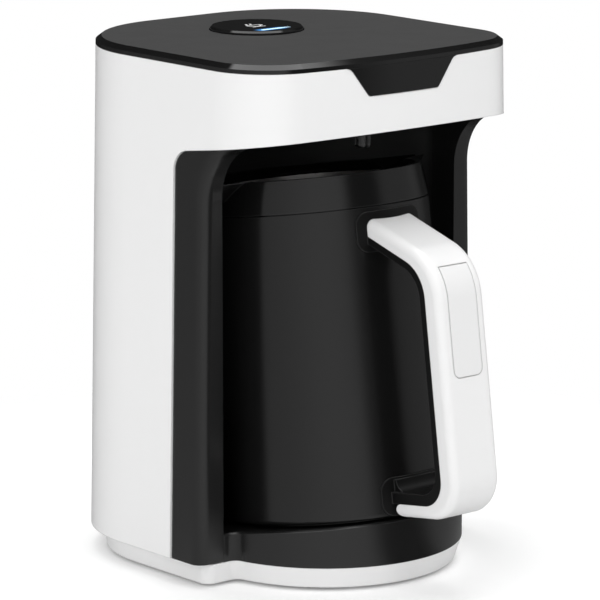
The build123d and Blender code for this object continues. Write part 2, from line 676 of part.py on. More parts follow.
# ---------------------------------------------------------------- button and control board
def button_guide():
    wall = BUTTON_R + RUN
    guide = ring(wall + GUIDE_WALL, wall, CONTROL_Z, PLATE_UNDER_Z - FIT, 0, BUTTON_Y)
    low, high = CONTROL_Z - OVER, CONTROL_Z + GUIDE_FLOOR + OVER
    floor = disc(wall + WELD, CONTROL_Z, CONTROL_Z + GUIDE_FLOOR, 0, BUTTON_Y)
    floor -= disc(SPRING_R - SPRING_SEAT, low, high, 0, BUTTON_Y)
    return guide + floor - disc(LAMP_HOLE_R, low, high, 0, LENS_Y)


def lens_slot(grow, z0, height):
    slot = SlotOverall(LENS_LENGTH + 2 * grow, LENS_WIDTH + 2 * grow)
    return extrude(Pos(0, LENS_Y, z0) * slot, amount=height)


def button_cap():
    cap = disc(BUTTON_R, BUTTON_ROOF_Z - BUTTON_SKIRT, BUTTON_TOP_Z, 0, BUTTON_Y)
    cap = chamfer(cap.edges().group_by(Axis.Z)[-1], BUTTON_EDGE)
    inner_z = BUTTON_ROOF_Z - BUTTON_SKIRT - OVER
    cap -= disc(BUTTON_R - BUTTON_WALL, inner_z, BUTTON_ROOF_Z, 0, BUTTON_Y)
    stem_z = SWITCH_TOP_Z + BUTTON_TRAVEL + STEM_GAP
    cap += disc(STEM_R, stem_z, BUTTON_ROOF_Z + WELD, 0, BUTTON_Y)
    return cap - lens_slot(LENS_GAP, BUTTON_ROOF_Z - OVER, BUTTON_ROOF + 2 * OVER)


def button_lens():
    """Light bar through the button's face, with a foot behind it."""
    lens = lens_slot(0.0, BUTTON_ROOF_Z, BUTTON_ROOF)
    return lens + lens_slot(LENS_FOOT, BUTTON_ROOF_Z - LENS_FOOT, LENS_FOOT)


def button_spring():
    z0 = CONTROL_Z + GUIDE_FLOOR
    height = BUTTON_ROOF_Z - z0 - SPRING_WIRE
    path = Helix(pitch=height / SPRING_TURNS, height=height, radius=SPRING_R)
    section = Plane(origin=path @ 0, z_dir=path % 0) * Circle(SPRING_WIRE / 2)
    return Pos(0, BUTTON_Y, z0 + SPRING_WIRE / 2) * sweep(section, path=path)


def control_board():
    half = PLATE_POST_DIST * cos(radians(PLATE_POST_ANGLES[0])) + CONTROL_MARGIN
    front = BUTTON_Y - PLATE_POST_DIST - CONTROL_FRONT
    rear = BUTTON_Y + PLATE_POST_DIST * sin(radians(PLATE_POST_ANGLES[0])) + CONTROL_REAR
    board = box(-half, half, front, rear, CONTROL_LOW_Z, CONTROL_Z)
    for x, y in PLATE_POSTS:
        board -= disc(SCREW_R + SCREW_HOLE_GAP, CONTROL_LOW_Z - OVER, CONTROL_Z + OVER, x, y)
    return board


def button_switch():
    z1 = SWITCH_TOP_Z - SWITCH_PLUNGER_H
    y0, y1 = BUTTON_Y - SWITCH_HALF, BUTTON_Y + SWITCH_HALF
    body = box(-SWITCH_HALF, SWITCH_HALF, y0, y1, CONTROL_Z, z1)
    return body + disc(SWITCH_PLUNGER_R, z1, SWITCH_TOP_Z, 0, BUTTON_Y)


def status_light():
    width, depth, height = LAMP_SIZE
    return Pos(0, LENS_Y, CONTROL_Z + height / 2) * Box(width, depth, height)


def buzzer():
    x, y = BUZZER_AT[0], BUTTON_Y + BUZZER_AT[1]
    low = CONTROL_LOW_Z - BUZZER_H
    return disc(BUZZER_R, low, CONTROL_LOW_Z, x, y) - disc(BUZZER_HOLE_R, low - OVER, low + OVER, x, y)


def slot_cut(x, y, z0, z1):
    """Cutting shape for the slot of a screw's head."""
    return box(x - SCREW_SLOT, x + SCREW_SLOT, y - 2, y + 2, z0, z1)


def board_screws():
    screws = []
    low = CONTROL_LOW_Z
    for x, y in PLATE_POSTS:
        shank = disc(SCREW_R, low, CONTROL_Z + BOARD_SCREW_DEPTH - OVER, x, y)
        head = disc(SCREW_HEAD_R, low - SCREW_HEAD_H, low, x, y)
        screws.append(shank + head - slot_cut(x, y, low - 2 * SCREW_HEAD_H, low - OVER))
    return group(screws)


# ---------------------------------------------------------------- base
def base_plan(inset, share):
    """Base outline at a share of its height: the body's rear part and the round front."""
    step = BASE_INSET_TOP + (BASE_INSET_BOTTOM - BASE_INSET_TOP) * share + inset
    post_y = HORN_Y + BASE_POST_INSET_TOP + (BASE_POST_INSET_BOTTOM - BASE_POST_INSET_TOP) * share + inset
    front_r = PEDESTAL_R - FRONT_BASE_TAPER * share - inset
    rear = outline(grow_at(0) - step)
    rear -= Pos(0, post_y - REACH / 2) * Rectangle(2 * REACH, REACH)
    corners = [v for v in rear.vertices() if abs(v.Y - post_y) < 0.01]
    rear = fillet(corners, BASE_CORNER_R)
    plan = rear + Pos(0, PEDESTAL_Y) * Circle(front_r)
    notch = [v for v in plan.vertices() if abs(v.Y - post_y) < 0.01 and abs(v.X) < front_r + 0.1]
    return fillet(notch, BASE_CORNER_R)


def base_block(z0, z1, inset=0.0):
    """Tapered base between two heights of its wall."""
    sections = []
    for z in (z0, z1):
        share = (DECK_Z - z) / (DECK_Z - FLOOR_GAP)
        sections.append(Pos(0, 0, z) * base_plan(inset, share))
    return loft(sections, ruled=True)


def tray_rim():
    """Low rim on the deck that centres the shell, open at the bay and at the lead's clamp."""
    inset = SHELL_WALL + FIT
    rim = body_block(DECK_Z, DECK_Z + BASE_RIM_H, inset)
    rim -= body_block(DECK_Z - OVER, DECK_Z + BASE_RIM_H + OVER, inset + BASE_RIM_WALL)
    rim &= box(-REACH, REACH, CUT_Y + LAP_REAR + OVER, REACH, 0, POST_TOP_Z)
    rim -= bay_block(0, POST_TOP_Z, LINER_WALL + FIT)
    half = CLAMP_WIDTH / 2 + 3
    return rim - box(-half, half, BOARD_Y, REACH, 0, POST_TOP_Z)


def base_tray():
    tray = base_block(FLOOR_GAP, DECK_Z)
    tray -= base_block(FLOOR_GAP - OVER, DECK_Z - DECK_WALL, BASE_WALL)
    tray += tray_rim()
    low, high = FLOOR_GAP + COVER_WALL, DECK_Z - DECK_WALL + WELD
    for x, y in COVER_POSTS:
        tray += disc(COVER_POST_R, low, high, x, y)
        tray -= disc(SCREW_R, 0, DECK_Z - DECK_WALL, x, y)
    for side in (-1, 1):
        tray -= disc(SCREW_R + SCREW_HOLE_GAP, 0, POST_TOP_Z, side * POST_X, POST_Y)
    bore = FOOT_STEM_R + FIT
    for x, y in FEET:
        tray += disc(bore + FOOT_SOCKET_WALL, low, high, x, y)
        tray -= disc(bore, 0, DECK_Z - DECK_WALL, x, y)
    return tray


def bottom_cover():
    cover = base_block(FLOOR_GAP, FLOOR_GAP + COVER_WALL, BASE_WALL + FIT)
    for x, y in COVER_POSTS:
        cover -= disc(SCREW_R + SCREW_HOLE_GAP, 0, DECK_Z, x, y)
        cover -= disc(SCREW_HEAD_R + FIT, 0, FLOOR_GAP + SUNK_HEAD_H, x, y)
    for x, y in FEET:
        cover -= disc(FOOT_STEM_R + FIT, 0, DECK_Z, x, y)
    for row in range(VENTS):
        vent = Pos(0, VENT_Y + VENT_PITCH * row, 0) * SlotOverall(VENT_LENGTH, VENT_WIDTH)
        cover -= extrude(vent, amount=DECK_Z)
    return cover


def rubber_feet():
    feet = []
    for x, y in FEET:
        foot = disc(FOOT_R, 0, FLOOR_GAP, x, y)
        foot = chamfer(foot.edges().group_by(Axis.Z)[0], FLOOR_GAP / 3)
        feet.append(foot + disc(FOOT_STEM_R, FLOOR_GAP, DECK_Z - DECK_WALL, x, y))
    return group(feet)


def cover_screws():
    screws = []
    face = FLOOR_GAP + SUNK_HEAD_H
    for x, y in COVER_POSTS:
        head = disc(SCREW_HEAD_R, FLOOR_GAP + LENS_GAP, face, x, y)
        head -= slot_cut(x, y, 0, FLOOR_GAP + SUNK_HEAD_H / 2)
        screws.append(head + disc(SCREW_R, face, DECK_Z - DECK_WALL - FIT, x, y))
    return group(screws)


def shell_screws():
    screws = []
    low = DECK_Z - DECK_WALL
    for side in (-1, 1):
        head = disc(SCREW_HEAD_R, low - SCREW_HEAD_H, low, side * POST_X, POST_Y)
        screws.append(head + disc(SCREW_R, low, POST_TOP_Z - 4, side * POST_X, POST_Y))
    return group(screws)


def seat_below(depth):
    """Everything below a plane parallel to the jug's bottom, at a depth below it."""
    return in_jug(Pos(0, 0, -depth - REACH / 2) * Box(2 * REACH, 2 * REACH, REACH))


def pedestal_plan(inset=0.0):
    front = Pos(0, PEDESTAL_Y) * Circle(PEDESTAL_R - inset)
    front_y = HORN_Y + BAY_FLOOR_SETBACK + inset
    plan = front + bay_plan(-SEAM - inset, front=front_y)
    notch = [v for v in plan.vertices() if abs(v.Y - front_y) < 0.01 and abs(v.X) < PEDESTAL_R - inset]
    return fillet(notch, BASE_CORNER_R)


def pedestal():
    block = extrude(Pos(0, 0, DECK_Z) * pedestal_plan(), amount=JUG_RIM_H) & seat_below(SEAT_DEPTH)
    rim = [e for e in block.edges() if e.center().Z > DECK_Z + OVER and e.center().Y < PEDESTAL_Y - 10]
    front = sorted(rim, key=lambda e: e.center().Y)[0]
    block = chamfer(front, PEDESTAL_EDGE)
    hollow = extrude(Pos(0, 0, DECK_Z - OVER) * pedestal_plan(PEDESTAL_WALL), amount=JUG_RIM_H)
    return block - (hollow & seat_below(SEAT_DEPTH + PEDESTAL_WALL))


# ---------------------------------------------------------------- jug connector
def blade_box(x, y0, y1, grow=0.0):
    half = BLADE_HALF + grow
    return box(x - half, x + half, y0, y1, BLADE_Z0 - grow, BLADE_Z1 + grow)


def jug_dock():
    block = box(-DOCK_HALF, DOCK_HALF, DOCK_Y0, DOCK_Y1, -SEAT_DEPTH, DOCK_TOP)
    block = fillet(block.edges().filter_by(Axis.Z), DOCK_CORNER_R)
    block = fillet(block.faces().sort_by(Axis.Z)[-1].edges(), DOCK_EDGE_R)
    for x in BLADES:
        block -= blade_box(x, DOCK_Y0 - OVER, DOCK_Y1 - DECK_WALL)
    return in_jug(block)


def dock_contacts():
    return in_jug(group([blade_box(x, DOCK_Y0 - BLADE_REACH, DOCK_Y1 - DECK_WALL) for x in BLADES]))


def jug_socket():
    block = box(-SOCKET_HALF, SOCKET_HALF, SOCKET_Y0, SOCKET_Y1, SOCKET_Z0, SOCKET_Z1)
    for x in BLADES:
        block -= blade_box(x, SOCKET_Y0 + SOCKET_SLOT_END, SOCKET_Y1 + OVER, BLADE_SLOT)
    return in_jug(block)


def socket_springs():
    """Spring leaves that press on the dock's blades from one side."""
    leaves = []
    y0 = SOCKET_Y0 + SOCKET_SLOT_END + SPRING_LEAF_GAP
    for x in BLADES:
        x0 = x + BLADE_HALF + SPRING_LEAF_GAP
        z0, z1 = BLADE_Z0 - BLADE_SLOT / 2, BLADE_Z1 + BLADE_SLOT / 2
        leaves.append(box(x0, x0 + SPRING_LEAF, y0, y0 + SPRING_LEAF_LENGTH, z0, z1))
    return in_jug(group(leaves))


# ---------------------------------------------------------------- rear electronics
def on_board(size, x, z):
    """Block on the back of the power board, centred at (x, z)."""
    width, depth, height = size
    return Pos(x, BOARD_BACK_Y + depth / 2, z) * Box(width, depth, height)


def power_board():
    board = box(-BOARD_HALF, BOARD_HALF, BOARD_Y, BOARD_BACK_Y, BOARD_Z0, BOARD_Z1)
    for x, z in BOARD_POSTS:
        board -= rod_y(SCREW_R + SCREW_HOLE_GAP, BOARD_Y - OVER, BOARD_BACK_Y + OVER, x, z)
    return board


def power_board_screws():
    screws = []
    for x, z in BOARD_POSTS:
        head = rod_y(SCREW_HEAD_R, BOARD_BACK_Y, BOARD_BACK_Y + SCREW_HEAD_H, x, z)
        screws.append(head + rod_y(SCREW_R, BOARD_Y - BOARD_SCREW_DEPTH, BOARD_BACK_Y, x, z))
    return group(screws)


def relay():
    block = on_board(RELAY_SIZE, RELAY_X, BOARD_Z1 - RELAY_BELOW_TOP)
    return chamfer(block.faces().sort_by(Axis.Y)[-1].edges(), 0.8)


def transformer():
    z = BOARD_Z1 - TRANSFORMER_BELOW_TOP
    return on_board(COIL_CORE_SIZE, TRANSFORMER_X, z) + on_board(COIL_BOBBIN_SIZE, TRANSFORMER_X, z)


def filter_capacitor():
    x, z = CAPACITOR_X, BOARD_Z0 + CAPACITOR_RISE
    end = BOARD_BACK_Y + CAPACITOR_H
    vent_r, vent_depth = CAPACITOR_VENT
    can = rod_y(CAPACITOR_R, BOARD_BACK_Y, end, x, z)
    return can - rod_y(vent_r, end - vent_depth, end + OVER, x, z)


def terminal_block():
    width, depth, height = TERMINAL_SIZE
    y0 = BOARD_Y + TERMINAL_GAP
    block = box(-width / 2, width / 2, y0, y0 + depth, DECK_Z, DECK_Z + height)
    top = DECK_Z + height
    for x in TERMINALS:
        block -= disc(TERMINAL_HOLE_R, top - TERMINAL_HOLE_DEPTH, top + OVER, x, y0 + depth * 2 / 3)
    return block


def cord_gland():
    """Bush for the mains lead, through the rear wall."""
    flange = rod_y(GLAND_R + GLAND_LIP, GLAND_FACE_Y - OVER, GLAND_FACE_Y + GLAND_FLANGE, z=GLAND_Z)
    flange = chamfer(flange.edges().group_by(Axis.Y)[-1], GLAND_LIP_EDGE)
    flange -= body_block(SHELL_BOTTOM_Z, GLAND_Z + REACH / 5)
    inner = GLAND_FACE_Y - SHELL_WALL
    neck = rod_y(GLAND_R - FIT, inner - GLAND_NECK_END, GLAND_FACE_Y + WELD, z=GLAND_Z)
    nut_y = inner - GLAND_NUT_GAP
    nut = rod_y(GLAND_R + GLAND_NUT_LIP, nut_y - GLAND_NUT_H, nut_y, z=GLAND_Z)
    return flange + neck + nut - rod_y(LEAD_R, BOARD_Y, REACH, z=GLAND_Z)


def cord_clamp():
    """Saddle on the deck that grips the lead behind the gland."""
    y0 = BOARD_Y + TERMINAL_GAP + TERMINAL_SIZE[1] + CLAMP_GAP
    half = CLAMP_WIDTH / 2
    bar_z = GLAND_Z + CLAMP_BAR_Z
    saddle = box(-half, half, y0, y0 + CLAMP_DEPTH, DECK_Z, bar_z + CLAMP_BAR_H)
    inner = half - CLAMP_LEG
    return saddle - box(-inner, inner, y0 - OVER, y0 + CLAMP_DEPTH + OVER, GLAND_Z - LEAD_R, bar_z)


def wire(points):
    path = FilletPolyline(*points, radius=WIRE_BEND)
    section = Plane(origin=path @ 0, z_dir=path % 0) * Circle(WIRE_R)
    return sweep(section, path=path)


def wiring_harness():
    wires = []
    start_y = BOARD_Y + TERMINAL_GAP + TERMINAL_SIZE[1] / 2
    end_y = BOARD_BACK_Y + WIRE_OFF_BOARD
    bend_z = DECK_Z + WIRE_RISE
    for x in TERMINALS:
        start = (x, start_y, DECK_Z + TERMINAL_SIZE[2])
        end_x = x * WIRE_SPREAD
        turn = (end_x, end_y, bend_z + WIRE_LEAN)
        wires.append(wire([start, (x, start_y, bend_z), turn, (end_x, end_y, BOARD_Z0 + WIRE_OVERLAP)]))
    return group(wires)


# ---------------------------------------------------------------- jug
def jug_body():
    body = cone(JUG_BOTTOM_R, JUG_SEAM_R, 0, JUG_SEAM_H)
    body = fillet(body.edges().group_by(Axis.Z)[0], JUG_EDGE_R)
    body -= cone(JUG_BOTTOM_R - JUG_WALL, JUG_SEAM_R - JUG_WALL, -0.001, JUG_SEAM_H + 0.001)
    half = SOCKET_HALF + FIT
    body -= box(-half, half, SOCKET_Y0, JUG_BOTTOM_R + OVER, SOCKET_Z0 - FIT, SOCKET_Z1 + FIT)
    for h in HANDLE_SCREW_H:
        body -= rod_y(SCREW_R + SCREW_HOLE_GAP, -JUG_BOTTOM_R - OVER, -JUG_BOTTOM_R / 2, 0, h)
    return in_jug(body)


def spout(wall, past_tip=0.0, past_top=0.0):
    """V-shaped beak on +X, drawn as a solid; wall shrinks it to its channel."""
    top = JUG_RIM_H + past_top

    def section(x, half, low, round_r):
        face = make_face(Polyline((-half, top), (half, top), (0, low), close=True))
        keel = [v for v in face.vertices() if abs(v.X) < 0.01]
        return Plane(origin=(x, 0, 0), x_dir=(0, 1, 0), z_dir=(1, 0, 0)) * fillet(keel, round_r)

    root_x = (JUG_RIM_R - SPOUT_ROOT) * cos(radians(SPOUT_HALF_ANGLE))
    root_half = JUG_RIM_R * sin(radians(SPOUT_HALF_ANGLE)) - wall
    lift = wall * 1.15  # the sloping walls keep their thickness
    root_low = JUG_RIM_H - SPOUT_DEPTH + lift
    tip_low = JUG_RIM_H - SPOUT_TIP_DEPTH + lift
    root = section(root_x, root_half, root_low, SPOUT_ROOT_KEEL_R - wall * 0.6)
    tip_half = SPOUT_TIP_HALF - wall * 0.75
    tip = section(SPOUT_TIP_R + past_tip, tip_half, tip_low, SPOUT_TIP_KEEL_R - wall * 0.3)
    return loft([root, tip], ruled=True)


def jug_collar():
    z0 = JUG_SEAM_H + SEAM_LINE
    collar = cone(JUG_SEAM_R, JUG_RIM_R, z0, JUG_RIM_H)
    for turn in (0, 180):
        collar += Rot(0, 0, turn) * spout(0.0)
    inner_low, inner_top = JUG_SEAM_R - COLLAR_WALL, JUG_RIM_R - COLLAR_WALL
    collar -= cone(inner_low, inner_top, z0 - 0.001, JUG_RIM_H + 0.001)
    collar -= disc(inner_top, z0, JUG_RIM_H + OVER)
    for turn in (0, 180):
        collar -= Rot(0, 0, turn) * spout(SPOUT_WALL, past_tip=OVER, past_top=WELD)
    spigot_r = JUG_SEAM_R - JUG_WALL - FIT
    return in_jug(collar + ring(spigot_r, spigot_r - SPIGOT_WALL, z0 - SPIGOT_H, z0 + WELD))


def inner_pot():
    pot = disc(POT_R, POT_FLOOR_H, POT_TOP_H)
    pot = fillet(pot.edges().group_by(Axis.Z)[0], POT_EDGE_R)
    hollow = disc(POT_R - POT_WALL, POT_FLOOR_H + POT_WALL, POT_TOP_H + OVER)
    hollow = fillet(hollow.edges().group_by(Axis.Z)[0], POT_EDGE_R - POT_WALL)
    return in_jug(pot - hollow)


def pot_seal():
    z1 = POT_TOP_H - SEAL_DROP
    r_out = JUG_RIM_R - COLLAR_WALL + COLLAR_TAPER * (JUG_RIM_H - z1) / COLLAR_H
    return in_jug(ring(r_out - SEAL_FIT, POT_R + SEAL_FIT / 2, z1 - SEAL_H, z1))


def heating_plate():
    return in_jug(disc(HEATER_R, POT_FLOOR_H - PLATE_H, POT_FLOOR_H))


def heating_element():
    z = POT_FLOOR_H - PLATE_H - COIL_TUBE_R
    coil = Pos(0, 0, z) * Torus(COIL_R, COIL_TUBE_R)
    return in_jug(coil - box(-COIL_OPENING, COIL_OPENING, COIL_R / 2, COIL_R * 2, 0, POT_FLOOR_H))


def thermal_cutout():
    z1 = POT_FLOOR_H - PLATE_H
    flange = disc(CUTOUT_R, z1 - CUTOUT_FLANGE, z1)
    return in_jug(flange + disc(CUTOUT_CAP_R, z1 - CUTOUT_H, z1 - CUTOUT_FLANGE))


def jug_base():
    ring_r = JUG_BOTTOM_R - FOOT_RING_INSET
    foot = ring(ring_r, ring_r - FOOT_RING_WALL, -FOOT_RING_H, WELD)
    foot = fillet(foot.edges().group_by(Axis.Z)[0], FOOT_RING_H / 3)
    base = disc(JUG_BOTTOM_R - JUG_WALL - FIT, 0, JUG_BASE_WALL) + foot
    for x, y in JUG_POSTS:
        base += disc(JUG_POST_R, JUG_BASE_WALL - WELD, POT_FLOOR_H - PLATE_H, x, y)
    for x in DRAINS:
        base -= disc(DRAIN_R, -OVER, JUG_BASE_WALL + OVER, x, DRAIN_Y)
    return in_jug(base)


# ---------------------------------------------------------------- handle
def arm_depth(shift, pale, dark):
    """Depth in an arm that matches a depth in the grip, from its pale and dark halves."""
    if shift <= GRIP_DEPTH:
        return pale * shift / GRIP_DEPTH
    return pale + dark * (shift - GRIP_DEPTH) / CORE_DEPTH


def handle_face(shift):
    """Side view of the handle as a filled (y, z) shape, shrunk towards the finger gap."""
    upper = arm_depth(shift, ARM_DEPTH, CORE_DEPTH)
    lower = arm_depth(shift, LOW_ARM_DEPTH, LOW_CORE_DEPTH)
    outer = GRIP_R - shift
    root = JUG_SEAM_R - 8.5
    slope = GRIP_FALL / GRIP_FALL_RUN
    drop = upper / cos(atan2(slope, 1.0))
    fall = [GRIP_MOUNT_H - drop - slope * (r - JUG_SEAM_R - ARM_ROOT) for r in (root, outer)]
    points = [(-root, fall[0]), (-outer, fall[1]), (-outer, lower), (-root, lower)]
    face = make_face(Polyline(*points, close=True))
    top = [v for v in face.vertices() if abs(v.X + outer) < 0.01 and v.Y > GRIP_TOP_H / 2]
    face = fillet(top, GRIP_CORNER_R - shift * 0.9)
    low = [v for v in face.vertices() if abs(v.X + outer) < 0.01 and v.Y < GRIP_TOP_H / 2]
    return fillet(low, GRIP_LOW_R - shift * 0.7)


def handle_slab(shift, half):
    """The handle's side view at a depth below its outer face, carried to both sides."""
    return extrude(Plane.YZ * handle_face(shift), amount=half, both=True)


def jug_cone(grow=0.0):
    """The jug's outer surface as a solid, for cutting what sits against it."""
    straight = disc(JUG_SEAM_R + grow, JUG_SEAM_H, JUG_RIM_H + REACH / 10)
    return cone(JUG_BOTTOM_R + grow, JUG_SEAM_R + grow, 0, JUG_SEAM_H) + straight


def pad_column(grow):
    """Column that bounds the thumb pad; its lower corners are rounded."""
    half = PAD_HALF + grow
    z0, z1 = PAD_BOTTOM_H - grow, PAD_TOP_H + grow
    block = box(-half, half, -GRIP_R - OVER, -GRIP_R + PAD_REACH, z0, z1)
    low = [e for e in block.edges().filter_by(Axis.Y) if e.center().Z < z0 + OVER]
    return fillet(low, PAD_CORNER_R + grow)


def pad_skin(top, bottom):
    """Layer of the grip between two depths below its outer face."""
    return handle_slab(top, GRIP_HALF_WIDTH + OVER) - handle_slab(bottom, GRIP_HALF_WIDTH + 2 * OVER)


def lower_nose():
    """What is cut from the pale lower arm, so that its end at the jug is round."""
    r = LOW_ARM_DEPTH / 2
    tip = JUG_BOTTOM_R + FLANGE_RISE + FIT
    block = box(-HALF_WIDTH, HALF_WIDTH, -tip - r, 0, -OVER, LOW_ARM_DEPTH + OVER)
    return block - Pos(0, -tip - r, r) * Rot(0, 90, 0) * Cylinder(r, 2 * HALF_WIDTH)


def handle_shell():
    """Pale outer half of the handle, a channel that is open towards the jug."""
    outer = handle_slab(0.0, GRIP_HALF_WIDTH)
    long_edges = outer.edges().filter_by(lambda e: abs(abs(e.center().X) - GRIP_HALF_WIDTH) < 0.01)
    long_edges = long_edges.filter_by(lambda e: e.center().Y < -JUG_SEAM_R - OVER)
    shell = fillet(long_edges, GRIP_EDGE_R) - handle_slab(GRIP_DEPTH, GRIP_HALF_WIDTH + OVER)
    shell -= handle_slab(GRIP_SKIN, GRIP_HALF_WIDTH - GRIP_SKIN)
    shell -= jug_cone(FLANGE_RISE + FIT)
    shell -= lower_nose()
    return in_jug(shell - (pad_column(FIT) & pad_skin(-OVER, PAD_WALL + FIT)))


def handle_pad():
    """Thumb pad let into the outer face of the grip and its upper bend."""
    return in_jug(pad_column(0.0) & pad_skin(-FIT / 2, PAD_WALL))


def wall_flange(z0, z1):
    """Thin pad of the dark half that lies on the jug's wall round an arm."""
    block = box(-FLANGE_HALF, FLANGE_HALF, -JUG_BOTTOM_R - REACH / 10, -JUG_SEAM_R / 2, z0, z1)
    return fillet(block.edges().filter_by(Axis.Y), FLANGE_CORNER_R) & jug_cone(FLANGE_RISE)


def lower_gusset():
    """Hollow rise from the dark lower arm to its flange."""
    half = GRIP_HALF_WIDTH - LOWER_HOLLOW_INSET
    z = LOW_ARM_DEPTH + LOW_CORE_DEPTH
    front = JUG_BOTTOM_R + FLANGE_RISE + LOWER_HOLLOW_R
    block = box(-half, half, -front, -JUG_SEAM_R / 2, z - OVER, z + LOWER_HOLLOW_R)
    hollow = Pos(0, -front, z + LOWER_HOLLOW_R) * Rot(0, 90, 0)
    return block - hollow * Cylinder(LOWER_HOLLOW_R, 4 * GRIP_HALF_WIDTH)


def handle_core():
    """Dark inner half of the handle, with the two feet that are screwed to the jug."""
    strip = handle_slab(GRIP_DEPTH, GRIP_HALF_WIDTH)
    strip -= handle_slab(GRIP_DEPTH + CORE_DEPTH, GRIP_HALF_WIDTH + OVER)
    rib = handle_slab(GRIP_SKIN + FIT, GRIP_HALF_WIDTH - GRIP_SKIN - FIT)
    rib -= handle_slab(GRIP_DEPTH + OVER, GRIP_HALF_WIDTH)
    core = strip + rib + wall_flange(UPPER_FLANGE_TOP - UPPER_FLANGE_H, UPPER_FLANGE_TOP)
    core += wall_flange(LOWER_FLANGE_Z, LOWER_FLANGE_TOP) + lower_gusset()
    pale = handle_slab(-HANDLE_SHADOW, GRIP_HALF_WIDTH + HANDLE_SHADOW)
    pale -= handle_slab(GRIP_DEPTH, GRIP_HALF_WIDTH + OVER)
    pale -= handle_slab(GRIP_SKIN, GRIP_HALF_WIDTH - GRIP_SKIN)
    core -= pale - jug_cone(FLANGE_RISE)
    core -= jug_cone()
    for h in HANDLE_SCREW_H:
        core -= rod_y(SCREW_R, -JUG_SEAM_R - HANDLE_SCREW_DROP, -JUG_SEAM_R / 2, 0, h)
    return in_jug(core)


def handle_screws():
    screws = []
    for h in HANDLE_SCREW_H:
        wall_y = -(jug_radius(h) - JUG_WALL)
        shank = rod_y(SCREW_R, OVER - JUG_SEAM_R - HANDLE_SCREW_DROP, wall_y + WELD, 0, h)
        head_y = wall_y + 2 * FIT
        screws.append(shank + rod_y(SCREW_HEAD_R, head_y, head_y + SCREW_HEAD_H - 2 * FIT, 0, h))
    return in_jug(group(screws))


PIECES = [
    outer_shell,
    cavity_liner,
    head_cover,
    sensor_window,
    boil_sensor,
    top_plate,
    front_badge,
    button_guide,
    button_cap,
    button_lens,
    button_spring,
    control_board,
    button_switch,
    status_light,
    buzzer,
    board_screws,
    base_tray,
    bottom_cover,
    rubber_feet,
    cover_screws,
    shell_screws,
    pedestal,
    jug_dock,
    dock_contacts,
    power_board,
    power_board_screws,
    relay,
    transformer,
    filter_capacitor,
    terminal_block,
    cord_gland,
    cord_clamp,
    wiring_harness,
    jug_body,
    jug_collar,
    inner_pot,
    pot_seal,
    heating_plate,
    heating_element,
    thermal_cutout,
    jug_base,
    jug_socket,
    socket_springs,
    handle_shell,
    handle_pad,
    handle_core,
    handle_screws,
]

os.makedirs("parts", exist_ok=True)
for make in PIECES:
    export_step(Pos(0, ORIGIN_Y, 0) * make(), f"parts/{make.__name__}.step")
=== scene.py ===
import json
import math

import bmesh
import bpy
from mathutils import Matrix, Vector


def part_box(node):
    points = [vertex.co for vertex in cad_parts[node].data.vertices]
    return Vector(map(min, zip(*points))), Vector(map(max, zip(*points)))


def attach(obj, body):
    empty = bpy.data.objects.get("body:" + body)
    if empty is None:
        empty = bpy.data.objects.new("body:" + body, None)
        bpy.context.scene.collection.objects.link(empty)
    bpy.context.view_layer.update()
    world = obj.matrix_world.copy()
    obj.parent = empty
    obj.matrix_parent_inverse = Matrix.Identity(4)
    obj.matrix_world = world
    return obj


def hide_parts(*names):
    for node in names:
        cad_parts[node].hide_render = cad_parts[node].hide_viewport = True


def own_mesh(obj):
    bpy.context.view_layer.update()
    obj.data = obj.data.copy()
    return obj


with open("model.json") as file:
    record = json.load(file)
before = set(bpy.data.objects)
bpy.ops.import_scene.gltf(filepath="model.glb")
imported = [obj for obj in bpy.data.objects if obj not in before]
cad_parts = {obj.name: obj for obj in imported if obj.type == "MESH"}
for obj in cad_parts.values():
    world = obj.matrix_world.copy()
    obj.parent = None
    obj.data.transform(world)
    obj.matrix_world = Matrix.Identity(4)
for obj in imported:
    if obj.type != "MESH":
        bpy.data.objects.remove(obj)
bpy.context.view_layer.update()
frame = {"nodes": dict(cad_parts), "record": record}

MM = 0.001


# ---------------------------------------------------------------- node helpers
# Places of a Mix node's two inputs and of its result, by the kind of value that it mixes.
MIX_SOCKETS = {"FLOAT": (2, 3, 0), "RGBA": (6, 7, 2)}


def node(tree, kind, **settings):
    """A node with its settings by name."""
    made = tree.nodes.new(kind)
    for key, value in settings.items():
        setattr(made, key, value)
    return made


def put(tree, value, socket):
    """Gives a socket a number, a colour or another socket's output."""
    if isinstance(value, bpy.types.NodeSocket):
        tree.links.new(value, socket)
    else:
        socket.default_value = value


def calc(tree, operation, *values, clamp=False):
    """The result of a Math node."""
    made = node(tree, "ShaderNodeMath", operation=operation, use_clamp=clamp)
    for socket, value in zip(made.inputs, values):
        put(tree, value, socket)
    return made.outputs[0]


def fade(tree, value, low, high, at_low=0.0, at_high=1.0):
    """A smooth change from one value to another while the input goes from low to high."""
    made = node(tree, "ShaderNodeMapRange", interpolation_type="SMOOTHSTEP")
    for socket, number in zip(made.inputs, (value, low, high, at_low, at_high)):
        put(tree, number, socket)
    return made.outputs[0]


def blend(tree, kind, factor, a, b):
    """One value or colour turning into another as the factor goes from 0 to 1."""
    made = node(tree, "ShaderNodeMix", data_type=kind)
    first, second, result = MIX_SOCKETS[kind]
    put(tree, factor, made.inputs["Factor"])
    put(tree, a, made.inputs[first])
    put(tree, b, made.inputs[second])
    return made.outputs[result]


def blend_colour(tree, factor, a, b):
    """One colour turning into another."""
    return blend(tree, "RGBA", factor, a, b)


def surface_point(tree):
    """The point of the surface as one vector, in metres."""
    return node(tree, "ShaderNodeTexCoord").outputs["Object"]


def axes_of(tree, vector):
    """The X, Y and Z of a vector."""
    split = node(tree, "ShaderNodeSeparateXYZ")
    put(tree, vector, split.inputs[0])
    return split.outputs["X"], split.outputs["Y"], split.outputs["Z"]


